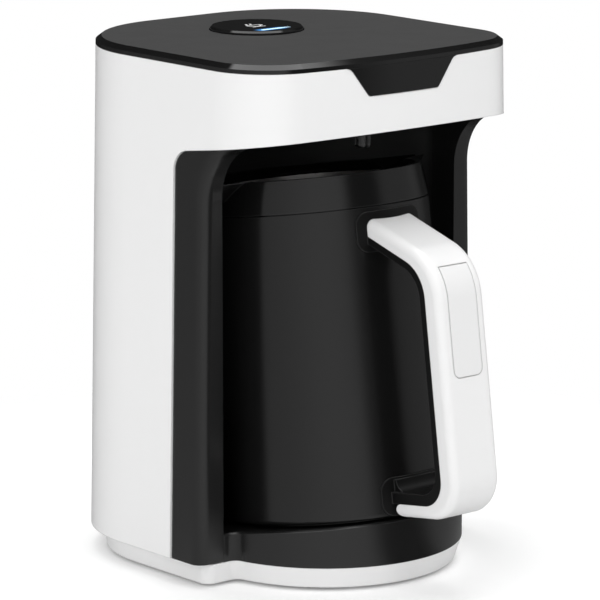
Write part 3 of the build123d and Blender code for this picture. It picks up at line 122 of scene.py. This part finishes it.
def length_of(tree, x, y):
    """How far a point of a flat face lies from its origin."""
    square = calc(tree, "ADD", calc(tree, "POWER", x, 2.0), calc(tree, "POWER", y, 2.0))
    return calc(tree, "SQRT", square)


# ---------------------------------------------------------------- shared surface effects
GRAIN_DETAIL = 3.0
GRAIN_SHARE = 0.35  # height of the grain beside that of the waves
WAVES_PER_METRE = 90.0
WAVE_DETAIL = 2.0
PATCH_DETAIL = 5.0
EDGE_SAMPLES = 6
EDGE_TURN = (0.99, 0.8)  # cosine of the turn from the face where an edge starts, and where it is full
RELIEF_DEPTH = 0.1 * MM
LINE_RISE = (-0.6, 0.9)  # stretch of the wave over which a line rises from its face

# Direction in degrees from +X, and how bright the room is there.
ROOM_LEVELS = [
    (-180, 0.50),
    (-122, 0.74),
    (-104, 0.72),
    (-88, 0.05),
    (-66, 0.05),
    (-50, 0.36),
    (-10, 0.25),
    (15, 0.03),
    (80, 0.02),
    (115, 0.12),
    (140, 0.32),
    (180, 0.50),
]


def start_group(name, inputs, outputs):
    """A node group with its sockets, given as {name: socket type}."""
    group = bpy.data.node_groups.new(name, "ShaderNodeTree")
    for side, sockets in (("INPUT", inputs), ("OUTPUT", outputs)):
        for label, kind in sockets.items():
            group.interface.new_socket(label, in_out=side, socket_type="NodeSocket" + kind)
    begin = node(group, "NodeGroupInput")
    end = node(group, "NodeGroupOutput")
    return group, begin.outputs, end.inputs


def clouds(tree, scale, detail):
    """Soft even noise over the surface."""
    made = node(tree, "ShaderNodeTexNoise")
    put(tree, surface_point(tree), made.inputs["Vector"])
    put(tree, scale, made.inputs["Scale"])
    put(tree, detail, made.inputs["Detail"])
    return made.outputs[0]


def moulded_grain():
    """Fine grain of a moulded face over the slight waves of a large moulding."""
    group, given, result = start_group("moulded grain", {"Grain Size": "Float"}, {"Height": "Float"})
    grain = clouds(group, calc(group, "DIVIDE", 1.0, given["Grain Size"]), GRAIN_DETAIL)
    waves = clouds(group, WAVES_PER_METRE, WAVE_DETAIL)
    fine = calc(group, "MULTIPLY", grain, GRAIN_SHARE)
    put(group, calc(group, "ADD", fine, waves), result["Height"])
    return group


def uneven_polish():
    """Roughness that drifts a little over a face, as on any handled moulding."""
    inputs = {"Roughness": "Float", "Drift": "Float", "Patch Size": "Float"}
    group, given, result = start_group("uneven polish", inputs, {"Roughness": "Float"})
    patches = clouds(group, calc(group, "DIVIDE", 1.0, given["Patch Size"]), PATCH_DETAIL)
    drift = calc(group, "MULTIPLY", calc(group, "SUBTRACT", patches, 0.5), given["Drift"])
    put(group, calc(group, "ADD", given["Roughness"], drift, clamp=True), result["Roughness"])
    return group


def softened_edge():
    """Rounds the look of sharp edges, lays a relief over them and marks where the edges are."""
    inputs = {"Radius": "Float", "Height": "Float", "Relief": "Float"}
    group, given, result = start_group("softened edge", inputs, {"Normal": "Vector", "Edge": "Float"})
    bevel = node(group, "ShaderNodeBevel", samples=EDGE_SAMPLES)
    put(group, given["Radius"], bevel.inputs["Radius"])
    bump = node(group, "ShaderNodeBump")
    put(group, given["Relief"], bump.inputs["Strength"])
    put(group, RELIEF_DEPTH, bump.inputs["Distance"])
    put(group, given["Height"], bump.inputs["Height"])
    put(group, bevel.outputs[0], bump.inputs["Normal"])
    put(group, bump.outputs[0], result["Normal"])
    flat = node(group, "ShaderNodeNewGeometry")
    turn = node(group, "ShaderNodeVectorMath", operation="DOT_PRODUCT")
    put(group, bevel.outputs[0], turn.inputs[0])
    put(group, flat.outputs["Normal"], turn.inputs[1])
    put(group, fade(group, turn.outputs["Value"], *EDGE_TURN), result["Edge"])
    return group


def fine_lines():
    """Fine parallel lines across a face that looks up."""
    inputs = {"Pitch": "Float", "Angle": "Float"}
    group, given, result = start_group("fine lines", inputs, {"Line": "Float"})
    x, y, _ = axes_of(group, surface_point(group))
    across = calc(group, "MULTIPLY", x, calc(group, "COSINE", given["Angle"]))
    along = calc(group, "MULTIPLY", y, calc(group, "SINE", given["Angle"]))
    count = calc(group, "DIVIDE", calc(group, "ADD", across, along), given["Pitch"])
    wave = calc(group, "SINE", calc(group, "MULTIPLY", count, 2 * math.pi))
    put(group, fade(group, wave, *LINE_RISE), result["Line"])
    return group


def light_spill():
    """How near a point lies to a narrow bar along X, fading with distance: the painted glow on the button
    round the bar, and the bar's own paler core.
    """
    inputs = {"Centre": "Vector", "Half Length": "Float", "Spread": "Float"}
    group, given, result = start_group("light spill", inputs, {"Spill": "Float"})
    offset = node(group, "ShaderNodeVectorMath", operation="SUBTRACT")
    put(group, surface_point(group), offset.inputs[0])
    put(group, given["Centre"], offset.inputs[1])
    x, y, _ = axes_of(group, offset.outputs[0])
    beyond = calc(group, "SUBTRACT", calc(group, "ABSOLUTE", x), given["Half Length"])
    distance = length_of(group, calc(group, "MAXIMUM", beyond, 0.0), y)
    near = fade(group, calc(group, "DIVIDE", distance, given["Spread"]), 0.0, 1.0, 1.0, 0.0)
    put(group, calc(group, "POWER", near, 2.0), result["Spill"])
    return group


def studio_surroundings():
    """Brightness of the room round the machine: soft boxes in front, dark flags beside them."""
    group, given, result = start_group("studio surroundings", {"Vector": "Vector"}, {"Brightness": "Float"})
    x, y, _ = axes_of(group, given["Vector"])
    turn = calc(group, "DIVIDE", calc(group, "ARCTAN2", y, x), 2 * math.pi)
    ramp = node(group, "ShaderNodeValToRGB")
    ramp.color_ramp.interpolation = "EASE"
    stops = ramp.color_ramp.elements
    while len(stops) > 1:
        stops.remove(stops[-1])
    for index, (degrees, level) in enumerate(ROOM_LEVELS):
        stop = stops[0] if index == 0 else stops.new(degrees / 360 + 0.5)
        stop.color = (level, level, level, 1)
    put(group, calc(group, "ADD", turn, 0.5), ramp.inputs[0])
    put(group, ramp.outputs[0], result["Brightness"])
    return group


GRAIN = moulded_grain()
POLISH = uneven_polish()
EDGE = softened_edge()
LINES = fine_lines()
SPILL = light_spill()
ROOM = studio_surroundings()


def use(tree, group, **values):
    """Places a shared effect with its values and returns its outputs."""
    made = node(tree, "ShaderNodeGroup", node_tree=group)
    for key, value in values.items():
        put(tree, value, made.inputs[key.replace("_", " ")])
    return made.outputs


# ---------------------------------------------------------------- finishes
EDGE_POLISH = 0.5  # edges are rubbed smoother than the faces beside them
EDGE_RUBBED = 0.6  # how far into the edge mask the rubbed polish is reached
POLISH_DRIFT = 0.25  # share of the roughness by which it drifts
POLISH_PATCH = 12 * MM


def new_material(name):
    """An empty material with its Principled shader."""
    mat = bpy.data.materials.new(name)
    mat.use_nodes = True
    tree = mat.node_tree
    tree.nodes.clear()
    out = node(tree, "ShaderNodeOutputMaterial")
    shader = node(tree, "ShaderNodeBsdfPrincipled")
    put(tree, shader.outputs["BSDF"], out.inputs["Surface"])
    return mat, tree, shader.inputs


def grey(level):
    """A neutral colour."""
    return (level, level, level, 1)


def grain_of(tree, size):
    """Height of a moulded face whose grain has the given size."""
    return use(tree, GRAIN, Grain_Size=size)["Height"]


def finish_surface(tree, shader, colour, rough, height, relief, edge, painted_edge_light_and_shade):
    """Relief, softened edges painted in another tone (a lighter painted highlight on most finishes, a
    darker painted shade on the white mouldings), and a polish that drifts.
    """
    rim = use(tree, EDGE, Radius=edge, Height=height, Relief=relief)
    put(tree, rim["Normal"], shader["Normal"])
    # The edge mask blends in the painted edge highlight, or on white mouldings the painted edge shade.
    put(tree, blend_colour(tree, rim["Edge"], colour, painted_edge_light_and_shade), shader["Base Color"])
    drifting = {"Roughness": rough, "Drift": rough * POLISH_DRIFT, "Patch_Size": POLISH_PATCH}
    polish = use(tree, POLISH, **drifting)["Roughness"]
    rubbed = fade(tree, rim["Edge"], 0.0, EDGE_RUBBED, 1.0, EDGE_POLISH)
    put(tree, calc(tree, "MULTIPLY", polish, rubbed), shader["Roughness"])


PALE_GRAIN = 0.5 * MM
PALE_RELIEF = 0.04
PALE_EDGE = 0.8 * MM
# painted shade: the white mouldings' edges are painted this much darker
PALE_PAINTED_EDGE_SHADE = 0.92
PALE_COAT_ROUGH = 0.12


def pale_plastic(name, level, rough, coat):
    """Glossy white moulding, its edges painted a little darker as painted shade."""
    mat, tree, shader = new_material(name)
    # painted shade along the edges
    painted_edge_light_and_shade = grey(level * PALE_PAINTED_EDGE_SHADE)
    height = grain_of(tree, PALE_GRAIN)
    finish_surface(tree, shader, grey(level), rough, height, PALE_RELIEF, PALE_EDGE, painted_edge_light_and_shade)
    put(tree, coat, shader["Coat Weight"])
    put(tree, PALE_COAT_ROUGH, shader["Coat Roughness"])
    return mat


DARK_GRAIN = 0.4 * MM
DARK_RELIEF = 0.12
DARK_EDGE = 0.4 * MM
# painted highlight: colour painted along the edges of black mouldings
DARK_PAINTED_EDGE_HIGHLIGHT = 0.03
DARK_SHINE = 0.5


def dark_plastic(
    name,
    level,
    rough,
    grain=DARK_GRAIN,
    relief=DARK_RELIEF,
    edge=DARK_EDGE,
    painted_edge_highlight=DARK_PAINTED_EDGE_HIGHLIGHT,
    shine=DARK_SHINE,
):
    """Black or dark moulding whose edges are painted slightly lighter as a painted highlight."""
    mat, tree, shader = new_material(name)
    height = grain_of(tree, grain)
    finish_surface(tree, shader, grey(level), rough, height, relief, edge, grey(painted_edge_highlight))
    put(tree, shine, shader["Specular IOR Level"])
    return mat


SMALL_GRAIN = 0.5 * MM
SMALL_RELIEF = 0.15
SMALL_EDGE = 0.25 * MM
SMALL_PAINTED_EDGE_HIGHLIGHT = (1.3, 0.02)  # painted highlight: edges are painted this many times as light, plus a little


def coloured(name, colour, rough, relief=SMALL_RELIEF):
    """Small inner piece of coloured plastic, rubber or lacquered board."""
    mat, tree, shader = new_material(name)
    times, more = SMALL_PAINTED_EDGE_HIGHLIGHT
    # painted highlight along the edges
    bright = tuple(min(c * times + more, 1.0) for c in colour)
    height = grain_of(tree, SMALL_GRAIN)
    finish_surface(tree, shader, (*colour, 1), rough, height, relief, SMALL_EDGE, (*bright, 1))
    return mat


MARKS_PER_METRE = 2500.0
METAL_RELIEF = 0.1
METAL_EDGE = 0.3 * MM
# painted highlight: metal edges are painted this many times as light
METAL_PAINTED_EDGE_HIGHLIGHT = 1.15


def bare_metal(name, colour, rough):
    """Metal with faint drawing marks round the upright axis and a lighter painted highlight on its edges.
    """
    mat, tree, shader = new_material(name)
    _, _, z = axes_of(tree, surface_point(tree))
    marks = node(tree, "ShaderNodeTexNoise", noise_dimensions="1D")
    put(tree, MARKS_PER_METRE, marks.inputs["Scale"])
    put(tree, z, marks.inputs["W"])
    # painted highlight along the edges
    painted_metal_edge_highlight = tuple(min(c * METAL_PAINTED_EDGE_HIGHLIGHT, 1.0) for c in colour)
    height = marks.outputs[0]
    finish_surface(tree, shader, (*colour, 1), rough, height, METAL_RELIEF, METAL_EDGE, (*painted_metal_edge_highlight, 1))
    put(tree, 1.0, shader["Metallic"])
    return mat


BAY_HALF = 63.5 * MM  # the faces inside the bay lie within this of the middle
BAY_SIDE_FADE = 1 * MM
BAY_FLOOR_Z = 50 * MM
BAY_FLOOR_FADE = 30 * MM
LINING_LEVEL = 0.009
# painted light: paler colour of the lining's faces inside the bay
LINING_PAINTED_LIGHT_LEVEL = 0.035
LINING_ROUGH = 0.25
LINING_EDGE = 0.6 * MM


def lining_finish():
    """Black lining, painted a touch paler on the faces inside the bay as painted light where little lamp
    light reaches.
    """
    mat, tree, shader = new_material("dark lining")
    x, _, z = axes_of(tree, surface_point(tree))
    inside = fade(tree, calc(tree, "ABSOLUTE", x), BAY_HALF - BAY_SIDE_FADE, BAY_HALF, 1.0, 0.0)
    above = fade(tree, z, BAY_FLOOR_Z, BAY_FLOOR_Z + BAY_FLOOR_FADE)
    # painted light on the faces inside the bay
    painted_bay_light = calc(tree, "MULTIPLY", inside, above)
    colour = blend_colour(tree, painted_bay_light, grey(LINING_LEVEL), grey(LINING_PAINTED_LIGHT_LEVEL))
    height = grain_of(tree, DARK_GRAIN)
    # painted highlight along the lining's edges
    painted_edge_light_and_shade = grey(DARK_PAINTED_EDGE_HIGHLIGHT)
    finish_surface(tree, shader, colour, LINING_ROUGH, height, DARK_RELIEF, LINING_EDGE, painted_edge_light_and_shade)
    return mat


LINE_PITCH = 1.5 * MM
LINE_ANGLE = 56.0  # degrees from +X to the direction across the lines
LINE_LEVELS = (0.022, 0.048)  # beside a line and on it
LINE_RELIEF = 0.1
RIM_LEVEL = 0.006
RIM_ROUGH = 0.06
RIM_TURN = (0.93, 0.99)  # upright part of the normal, from the polished rim to the lined face
PLATE_EDGE = 0.15 * MM
PLATE_ROUGH = 0.52
PLATE_DRIFT = 0.08
PLATE_PATCH = 15 * MM


def plate_finish():
    """Satin grey plate with fine slanted lines on its face and a polished black rim."""
    mat, tree, shader = new_material("lined plate")
    line = use(tree, LINES, Pitch=LINE_PITCH, Angle=math.radians(LINE_ANGLE))["Line"]
    _, _, level = axes_of(tree, node(tree, "ShaderNodeNewGeometry").outputs["True Normal"])
    face = fade(tree, level, *RIM_TURN)
    height = calc(tree, "MULTIPLY", line, face)
    edge = use(tree, EDGE, Radius=PLATE_EDGE, Height=height, Relief=LINE_RELIEF)
    put(tree, edge["Normal"], shader["Normal"])
    lined = blend_colour(tree, line, *map(grey, LINE_LEVELS))
    put(tree, blend_colour(tree, face, grey(RIM_LEVEL), lined), shader["Base Color"])
    drifting = {"Roughness": PLATE_ROUGH, "Drift": PLATE_DRIFT, "Patch_Size": PLATE_PATCH}
    polish = use(tree, POLISH, **drifting)["Roughness"]
    put(tree, fade(tree, face, 0.0, 1.0, RIM_ROUGH, polish), shader["Roughness"])
    return mat


BAR_END_R = 1.5 * MM  # the light bar ends in half circles
BUTTON_LEVEL = 0.004
BUTTON_ROUGH = 0.06
BUTTON_GRAIN = 0.8 * MM
BUTTON_RELIEF = 0.01
BUTTON_EDGE = 0.25 * MM
# painted highlight on the button's edges
BUTTON_PAINTED_EDGE_HIGHLIGHT = 0.02
PAINTED_GLOW_SHIFT = 2.5 * MM  # the painted glow reaches further at the bar's lit end
PAINTED_GLOW_INSET = 2 * MM
PAINTED_GLOW_REACH = 4.5 * MM
PAINTED_GLOW_BLUE = (0.10, 0.42, 1.0, 1)


def light_bar_line():
    """Middle of the light bar, and half the length of its straight stretch."""
    low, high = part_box("button_lens")
    return (Vector(low) + Vector(high)) / 2, (high[0] - low[0]) / 2 - BAR_END_R


def button_finish():
    """Gloss black, with a painted blue glow that the cap itself gives off round the light bar."""
    mat, tree, shader = new_material("gloss button")
    height = grain_of(tree, BUTTON_GRAIN)
    # painted highlight along the cap's edges
    painted_edge_light_and_shade = grey(BUTTON_PAINTED_EDGE_HIGHLIGHT)
    black = grey(BUTTON_LEVEL)
    finish_surface(tree, shader, black, BUTTON_ROUGH, height, BUTTON_RELIEF, BUTTON_EDGE, painted_edge_light_and_shade)
    centre, half = light_bar_line()
    centre.x -= PAINTED_GLOW_SHIFT
    # painted glow: the cap's own emission stands in for the bar's light falling on it
    spill = use(tree, SPILL, Centre=centre, Half_Length=half - PAINTED_GLOW_INSET, Spread=PAINTED_GLOW_REACH)["Spill"]
    put(tree, 1.0, shader["Emission Strength"])
    put(tree, blend_colour(tree, spill, grey(0.0), PAINTED_GLOW_BLUE), shader["Emission Color"])
    return mat


LIT_END = 6.5 * MM  # the lamp sits behind the bar's left part
LIT_FADE = 4.5 * MM
UNLIT_SHARE = 0.06
BAR_CORE = 3.0 * MM
BAR_TINT = (0.5, 0.7, 0.9, 1)
BAR_BLUE = (0.05, 0.3, 0.9, 1)
BAR_WHITE = (0.62, 0.9, 1.0, 1)
BAR_ROUGH = 0.25
BAR_STRENGTH = 1.1


def light_bar_finish():
    """Lit blue-white bar, paler along its middle."""
    mat, tree, shader = new_material("light bar")
    centre, half = light_bar_line()
    core = use(tree, SPILL, Centre=centre, Half_Length=half, Spread=BAR_CORE)["Spill"]
    x, _, _ = axes_of(tree, surface_point(tree))
    lit = fade(tree, x, LIT_END - LIT_FADE, LIT_END, 1.0, UNLIT_SHARE)
    put(tree, BAR_TINT, shader["Base Color"])
    put(tree, BAR_ROUGH, shader["Roughness"])
    put(tree, BAR_STRENGTH, shader["Emission Strength"])
    blue = blend_colour(tree, core, BAR_BLUE, BAR_WHITE)
    put(tree, blend_colour(tree, lit, grey(0.0), blue), shader["Emission Color"])
    return mat


WINDOW_LEVEL = 0.07
WINDOW_ROUGH = 0.04
WINDOW_GRAIN = 1 * MM
WINDOW_RELIEF = 0.01
WINDOW_EDGE = 0.3 * MM
# painted highlight on the window's edges
WINDOW_PAINTED_EDGE_HIGHLIGHT = 0.5
WINDOW_CLEAR = 0.85
WINDOW_IOR = 1.49


def clear_window():
    """Smoke-tinted clear plastic of the sensor's window, with a painted highlight along its edges."""
    mat, tree, shader = new_material("clear window")
    height = grain_of(tree, WINDOW_GRAIN)
    # painted highlight along the edges
    painted_edge_light_and_shade = grey(WINDOW_PAINTED_EDGE_HIGHLIGHT)
    tint = grey(WINDOW_LEVEL)
    finish_surface(tree, shader, tint, WINDOW_ROUGH, height, WINDOW_RELIEF, WINDOW_EDGE, painted_edge_light_and_shade)
    put(tree, WINDOW_CLEAR, shader["Transmission Weight"])
    put(tree, WINDOW_IOR, shader["IOR"])
    return mat


FINISHES = {
    "pale_shell": pale_plastic("pale shell", level=0.83, rough=0.34, coat=0.25),
    "pale_base": pale_plastic("pale base", level=0.87, rough=0.4, coat=0.1),
    "thumb_pad": pale_plastic("thumb pad", level=0.79, rough=0.42, coat=0.0),
    "dark_lining": lining_finish(),
    "grey_plate": plate_finish(),
    "dark_badge": dark_plastic("gloss badge", level=0.004, rough=0.08, relief=0.01, edge=0.25 * MM),
    "dark_button": button_finish(),
    "light_lens": light_bar_finish(),
    "jug_black": dark_plastic(
        "satin jug black", level=0.006, rough=0.25, grain=0.7 * MM, relief=0.03, edge=0.3 * MM
    ),
    "handle_black": dark_plastic(
        "handle black", level=0.004, rough=0.38, edge=0.6 * MM, painted_edge_highlight=0.05, shine=0.22
    ),
    "pot_steel": bare_metal("pot steel", (0.62, 0.61, 0.6), rough=0.28),
    "seal_rubber": dark_plastic("seal rubber", level=0.02, rough=0.7, grain=0.8 * MM, relief=0.3),
    "heater_metal": bare_metal("heater metal", (0.7, 0.7, 0.7), rough=0.4),
    "cutout_body": coloured("cutout body", (0.6, 0.57, 0.48), rough=0.5),
    "contact_brass": bare_metal("contact brass", (0.85, 0.62, 0.3), rough=0.25),
    "screw_steel": bare_metal("screw steel", (0.6, 0.6, 0.6), rough=0.35),
    "board_green": coloured("board green", (0.02, 0.14, 0.06), rough=0.35, relief=0.05),
    "component_dark": dark_plastic("component black", level=0.02, rough=0.45, painted_edge_highlight=0.05),
    "component_blue": coloured("component blue", (0.03, 0.08, 0.35), rough=0.4),
    "component_white": coloured("component white", (0.75, 0.75, 0.73), rough=0.45),
    "window_glass": clear_window(),
    "wire_cover": coloured("wire cover", (0.35, 0.03, 0.02), rough=0.45),
}
# The collar is glossier than the jug below it.
COLLAR_BLACK = dark_plastic(
    "gloss collar", level=0.005, rough=0.16, grain=0.7 * MM, relief=0.02, painted_edge_highlight=0.04
)

SLOTS = {part["node"]: part["material_slot"] for part in frame["record"]["subparts"]}
for name, piece in frame["nodes"].items():
    piece.data.materials.clear()
    piece.data.materials.append(COLLAR_BLACK if name == "jug_collar" else FINISHES[SLOTS[name]])


def make_return_spring():
    """The coil below the button, as a rigid copy that moves with the button."""
    coil = frame["nodes"]["button_spring"]
    spring = bpy.data.objects.new("return_spring", coil.data.copy())
    spring.matrix_world = coil.matrix_world.copy()
    bpy.context.scene.collection.objects.link(spring)
    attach(spring, "button")
    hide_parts("button_spring")
    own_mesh(spring)


make_return_spring()


# ---------------------------------------------------------------- printed cup on the button
ICON_LINE = 0.55 * MM
ICON_HEIGHT = 0.05 * MM
ICON_SUNK = 0.2  # share of the print's height that lies in the button's face
ICON_SHIFT = Vector((-1.5 * MM, 0.3 * MM, 0))
PRINT_LEVEL = 0.85
# painted highlight on the print's edges
PRINT_PAINTED_EDGE_HIGHLIGHT = 0.9
PRINT_ROUGH = 0.45
PRINT_GRAIN = 0.3 * MM
PRINT_RELIEF = 0.1

# The cup as drawn, in millimetres from the middle of the print.
CUP_LEFT = -3.2
CUP_RIGHT = 2.8
CUP_RIM_Y = 0.8
CUP_ROUND_R = 2.2
CUP_ROUND_Y = -0.6
HANDLE_R = 1.1
HANDLE_AT = (2.9, -0.4)
SAUCER_Y = -4.0
SAUCER_OVERHANG = 0.4
STEAM_X = (-1.4, 0.8)
STEAM_Y = 2.3
STEAM_R = 0.7
ROUND_STEPS = 10
STEAM_STEPS = 6


def arc_points(centre, radius, start, end, steps=ROUND_STEPS):
    """Points of an arc, angles in degrees."""
    angles = [math.radians(start + (end - start) * i / steps) for i in range(steps + 1)]
    return [(centre[0] + radius * math.cos(a), centre[1] + radius * math.sin(a)) for a in angles]


def steam_points(x):
    """An S-shaped wisp of steam."""
    lower = arc_points((x, STEAM_Y), STEAM_R, 250, 90, STEAM_STEPS)
    upper = arc_points((x, STEAM_Y + 2 * STEAM_R), STEAM_R, 270, 430, STEAM_STEPS)
    return lower + upper


def cup_strokes():
    """Centre lines of a plain cup with a handle, a saucer and two wisps of steam, in millimetres."""
    rim = [(CUP_RIGHT, CUP_RIM_Y), (CUP_LEFT, CUP_RIM_Y)]
    left_round = arc_points((CUP_LEFT + CUP_ROUND_R, CUP_ROUND_Y), CUP_ROUND_R, 180, 270)
    right_round = arc_points((CUP_RIGHT - CUP_ROUND_R, CUP_ROUND_Y), CUP_ROUND_R, 270, 360)
    bowl = rim[1:] + left_round + right_round + rim
    handle = arc_points(HANDLE_AT, HANDLE_R, 80, -80)
    saucer = [(CUP_LEFT - SAUCER_OVERHANG, SAUCER_Y), (CUP_RIGHT + SAUCER_OVERHANG, SAUCER_Y)]
    return [bowl, handle, saucer] + [steam_points(x) for x in STEAM_X]


def flat_stroke(mesh, points, z, origin):
    """A raised ribbon of even width along a line of points."""
    places = [Vector((x * MM, y * MM, 0)) + origin for x, y in points]
    rows = []
    for index, place in enumerate(places):
        ahead = places[min(index + 1, len(places) - 1)]
        behind = places[max(index - 1, 0)]
        run = (ahead - behind).normalized()
        side = Vector((-run.y, run.x, 0)) * ICON_LINE / 2
        corners = [(place + side, z), (place - side, z)]
        corners += [(place - side, z + ICON_HEIGHT), (place + side, z + ICON_HEIGHT)]
        rows.append([mesh.verts.new((p.x, p.y, height)) for p, height in corners])
    for a, b in zip(rows, rows[1:]):
        for i in range(4):
            mesh.faces.new((a[i], a[(i + 1) % 4], b[(i + 1) % 4], b[i]))
    mesh.faces.new(rows[0][::-1])
    mesh.faces.new(rows[-1])


def print_finish():
    """White print with a painted highlight along its edges."""
    mat, tree, shader = new_material("white print")
    height = grain_of(tree, PRINT_GRAIN)
    white = grey(PRINT_LEVEL)
    # painted highlight along the edges
    painted_edge_light_and_shade = grey(PRINT_PAINTED_EDGE_HIGHLIGHT)
    finish_surface(tree, shader, white, PRINT_ROUGH, height, PRINT_RELIEF, ICON_HEIGHT, painted_edge_light_and_shade)
    return mat


def make_icon():
    """White print on the button's face, as one piece that moves with the button."""
    low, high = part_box("button_cap")
    centre = Vector(((low[0] + high[0]) / 2, (low[1] + high[1]) / 2, 0)) + ICON_SHIFT
    shape = bmesh.new()
    for stroke in cup_strokes():
        flat_stroke(shape, stroke, high[2] - ICON_SUNK * ICON_HEIGHT, centre)
    bmesh.ops.recalc_face_normals(shape, faces=shape.faces)
    mesh = bpy.data.meshes.new("cup_print")
    shape.to_mesh(mesh)
    shape.free()
    icon = bpy.data.objects.new("cup_print", mesh)
    bpy.context.scene.collection.objects.link(icon)
    mesh.materials.append(print_finish())
    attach(icon, "button")


make_icon()


# ---------------------------------------------------------------- stage, light and camera
LAMP_AIM = Vector((0, 0, 0.1))
SOFT_BOXES = {
    "key light": {"place": (-1.5, -0.7, 0.7), "size": (1.2, 1.2), "watts": 7.2},
    "side light": {"place": (0.4, -1.6, 1.5), "size": (1.2, 1.0), "watts": 6.5},
    "top light": {"place": (0.1, 0.1, 2.0), "size": (1.6, 1.6), "watts": 21},
}


def soft_box(name, place, size, watts):
    """Area lamp that looks at the machine and isn't seen in its gloss."""
    data = bpy.data.lights.new(name, "AREA")
    data.shape = "RECTANGLE"
    data.size, data.size_y = size
    data.energy = watts
    lamp = bpy.data.objects.new(name, data)
    lamp.location = place
    lamp.rotation_euler = (LAMP_AIM - Vector(place)).to_track_quat("-Z", "Y").to_euler()
    lamp.visible_glossy = False
    bpy.context.scene.collection.objects.link(lamp)


AMBIENT = 0.64
OVERHEAD = 3.0
OVERHEAD_EDGE = (0.80, 0.86)  # upward part of the direction where the overhead box starts and is full


def make_world():
    """White to the eye, the studio's soft boxes in gloss, and even light for everything else."""
    world = bpy.data.worlds.new("studio")
    bpy.context.scene.world = world
    world.use_nodes = True
    tree = world.node_tree
    tree.nodes.clear()
    out = node(tree, "ShaderNodeOutputWorld")
    direction = node(tree, "ShaderNodeTexCoord").outputs["Generated"]
    _, _, rise = axes_of(tree, direction)
    walls = use(tree, ROOM, Vector=direction)["Brightness"]
    gloss = fade(tree, rise, *OVERHEAD_EDGE, walls, OVERHEAD)
    path = node(tree, "ShaderNodeLightPath").outputs
    level = blend(tree, "FLOAT", path["Is Glossy Ray"], AMBIENT, gloss)
    seen = calc(tree, "MAXIMUM", path["Is Camera Ray"], path["Is Transmission Ray"])
    back = node(tree, "ShaderNodeBackground")
    put(tree, grey(1.0), back.inputs["Color"])
    put(tree, blend(tree, "FLOAT", seen, level, 1.0), back.inputs["Strength"])
    put(tree, back.outputs[0], out.inputs["Surface"])


FLOOR_HALF = 3.0
FLOOR_LEVEL = 0.9
FLOOR_ROUGH = 0.9
FLOOR_SHINE = 0.1
FLOOR_LIFT = 0.16
SHADOW_END = (0.12, 0.32)


def glow(tree, strength):
    """White light of the given strength."""
    made = node(tree, "ShaderNodeEmission")
    put(tree, strength, made.inputs["Strength"])
    return made.outputs[0]


def swap(tree, factor, a, b):
    """One shader in place of another."""
    made = node(tree, "ShaderNodeMixShader")
    for socket, value in zip(made.inputs, (factor, a, b)):
        put(tree, value, socket)
    return made.outputs[0]


def floor_finish():
    """Pale face with the machine's shadow near it, white to the eye further out, the room in gloss."""
    mat, tree, shader = new_material("pale floor")
    put(tree, grey(FLOOR_LEVEL), shader["Base Color"])
    put(tree, FLOOR_ROUGH, shader["Roughness"])
    put(tree, FLOOR_SHINE, shader["Specular IOR Level"])
    principled = shader["Base Color"].node
    out = next(n for n in tree.nodes if n.type == "OUTPUT_MATERIAL")
    path = node(tree, "ShaderNodeLightPath").outputs
    x, y, _ = axes_of(tree, surface_point(tree))
    far = fade(tree, length_of(tree, x, y), *SHADOW_END)
    near = node(tree, "ShaderNodeAddShader")
    put(tree, principled.outputs[0], near.inputs[0])
    lift = calc(tree, "MULTIPLY", path["Is Camera Ray"], FLOOR_LIFT)
    put(tree, glow(tree, lift), near.inputs[1])
    white = calc(tree, "MULTIPLY", path["Is Camera Ray"], far)
    eye = swap(tree, white, near.outputs[0], glow(tree, 1.0))
    walls = use(tree, ROOM, Vector=surface_point(tree))["Brightness"]
    both = swap(tree, path["Is Glossy Ray"], eye, glow(tree, walls))
    put(tree, both, out.inputs["Surface"])
    return mat


def make_floor():
    """Floor that reaches far past the machine."""
    mesh = bpy.data.meshes.new("floor")
    r = FLOOR_HALF
    mesh.from_pydata([(-r, -r, 0), (r, -r, 0), (r, r, 0), (-r, r, 0)], [], [(0, 1, 2, 3)])
    floor = bpy.data.objects.new("floor", mesh)
    bpy.context.scene.collection.objects.link(floor)
    mesh.materials.append(floor_finish())


make_world()
make_floor()
for name, values in SOFT_BOXES.items():
    soft_box(name, **values)

LENS = 241.14
SENSOR_WIDTH = 36.0
CAMERA_PLACE = Vector((-1.0734, -1.250605, 0.4582))
CAMERA_AIM = Vector((0.001605, 0.014241, 0.10737))

camera_data = bpy.data.cameras.new("camera")
camera_data.lens = LENS
camera_data.sensor_width = SENSOR_WIDTH
camera = bpy.data.objects.new("camera", camera_data)
camera.location = CAMERA_PLACE
camera.rotation_euler = (CAMERA_AIM - CAMERA_PLACE).to_track_quat("-Z", "Y").to_euler()
bpy.context.scene.collection.objects.link(camera)
bpy.context.scene.camera = camera
bpy.context.scene.view_settings.view_transform = "Standard"
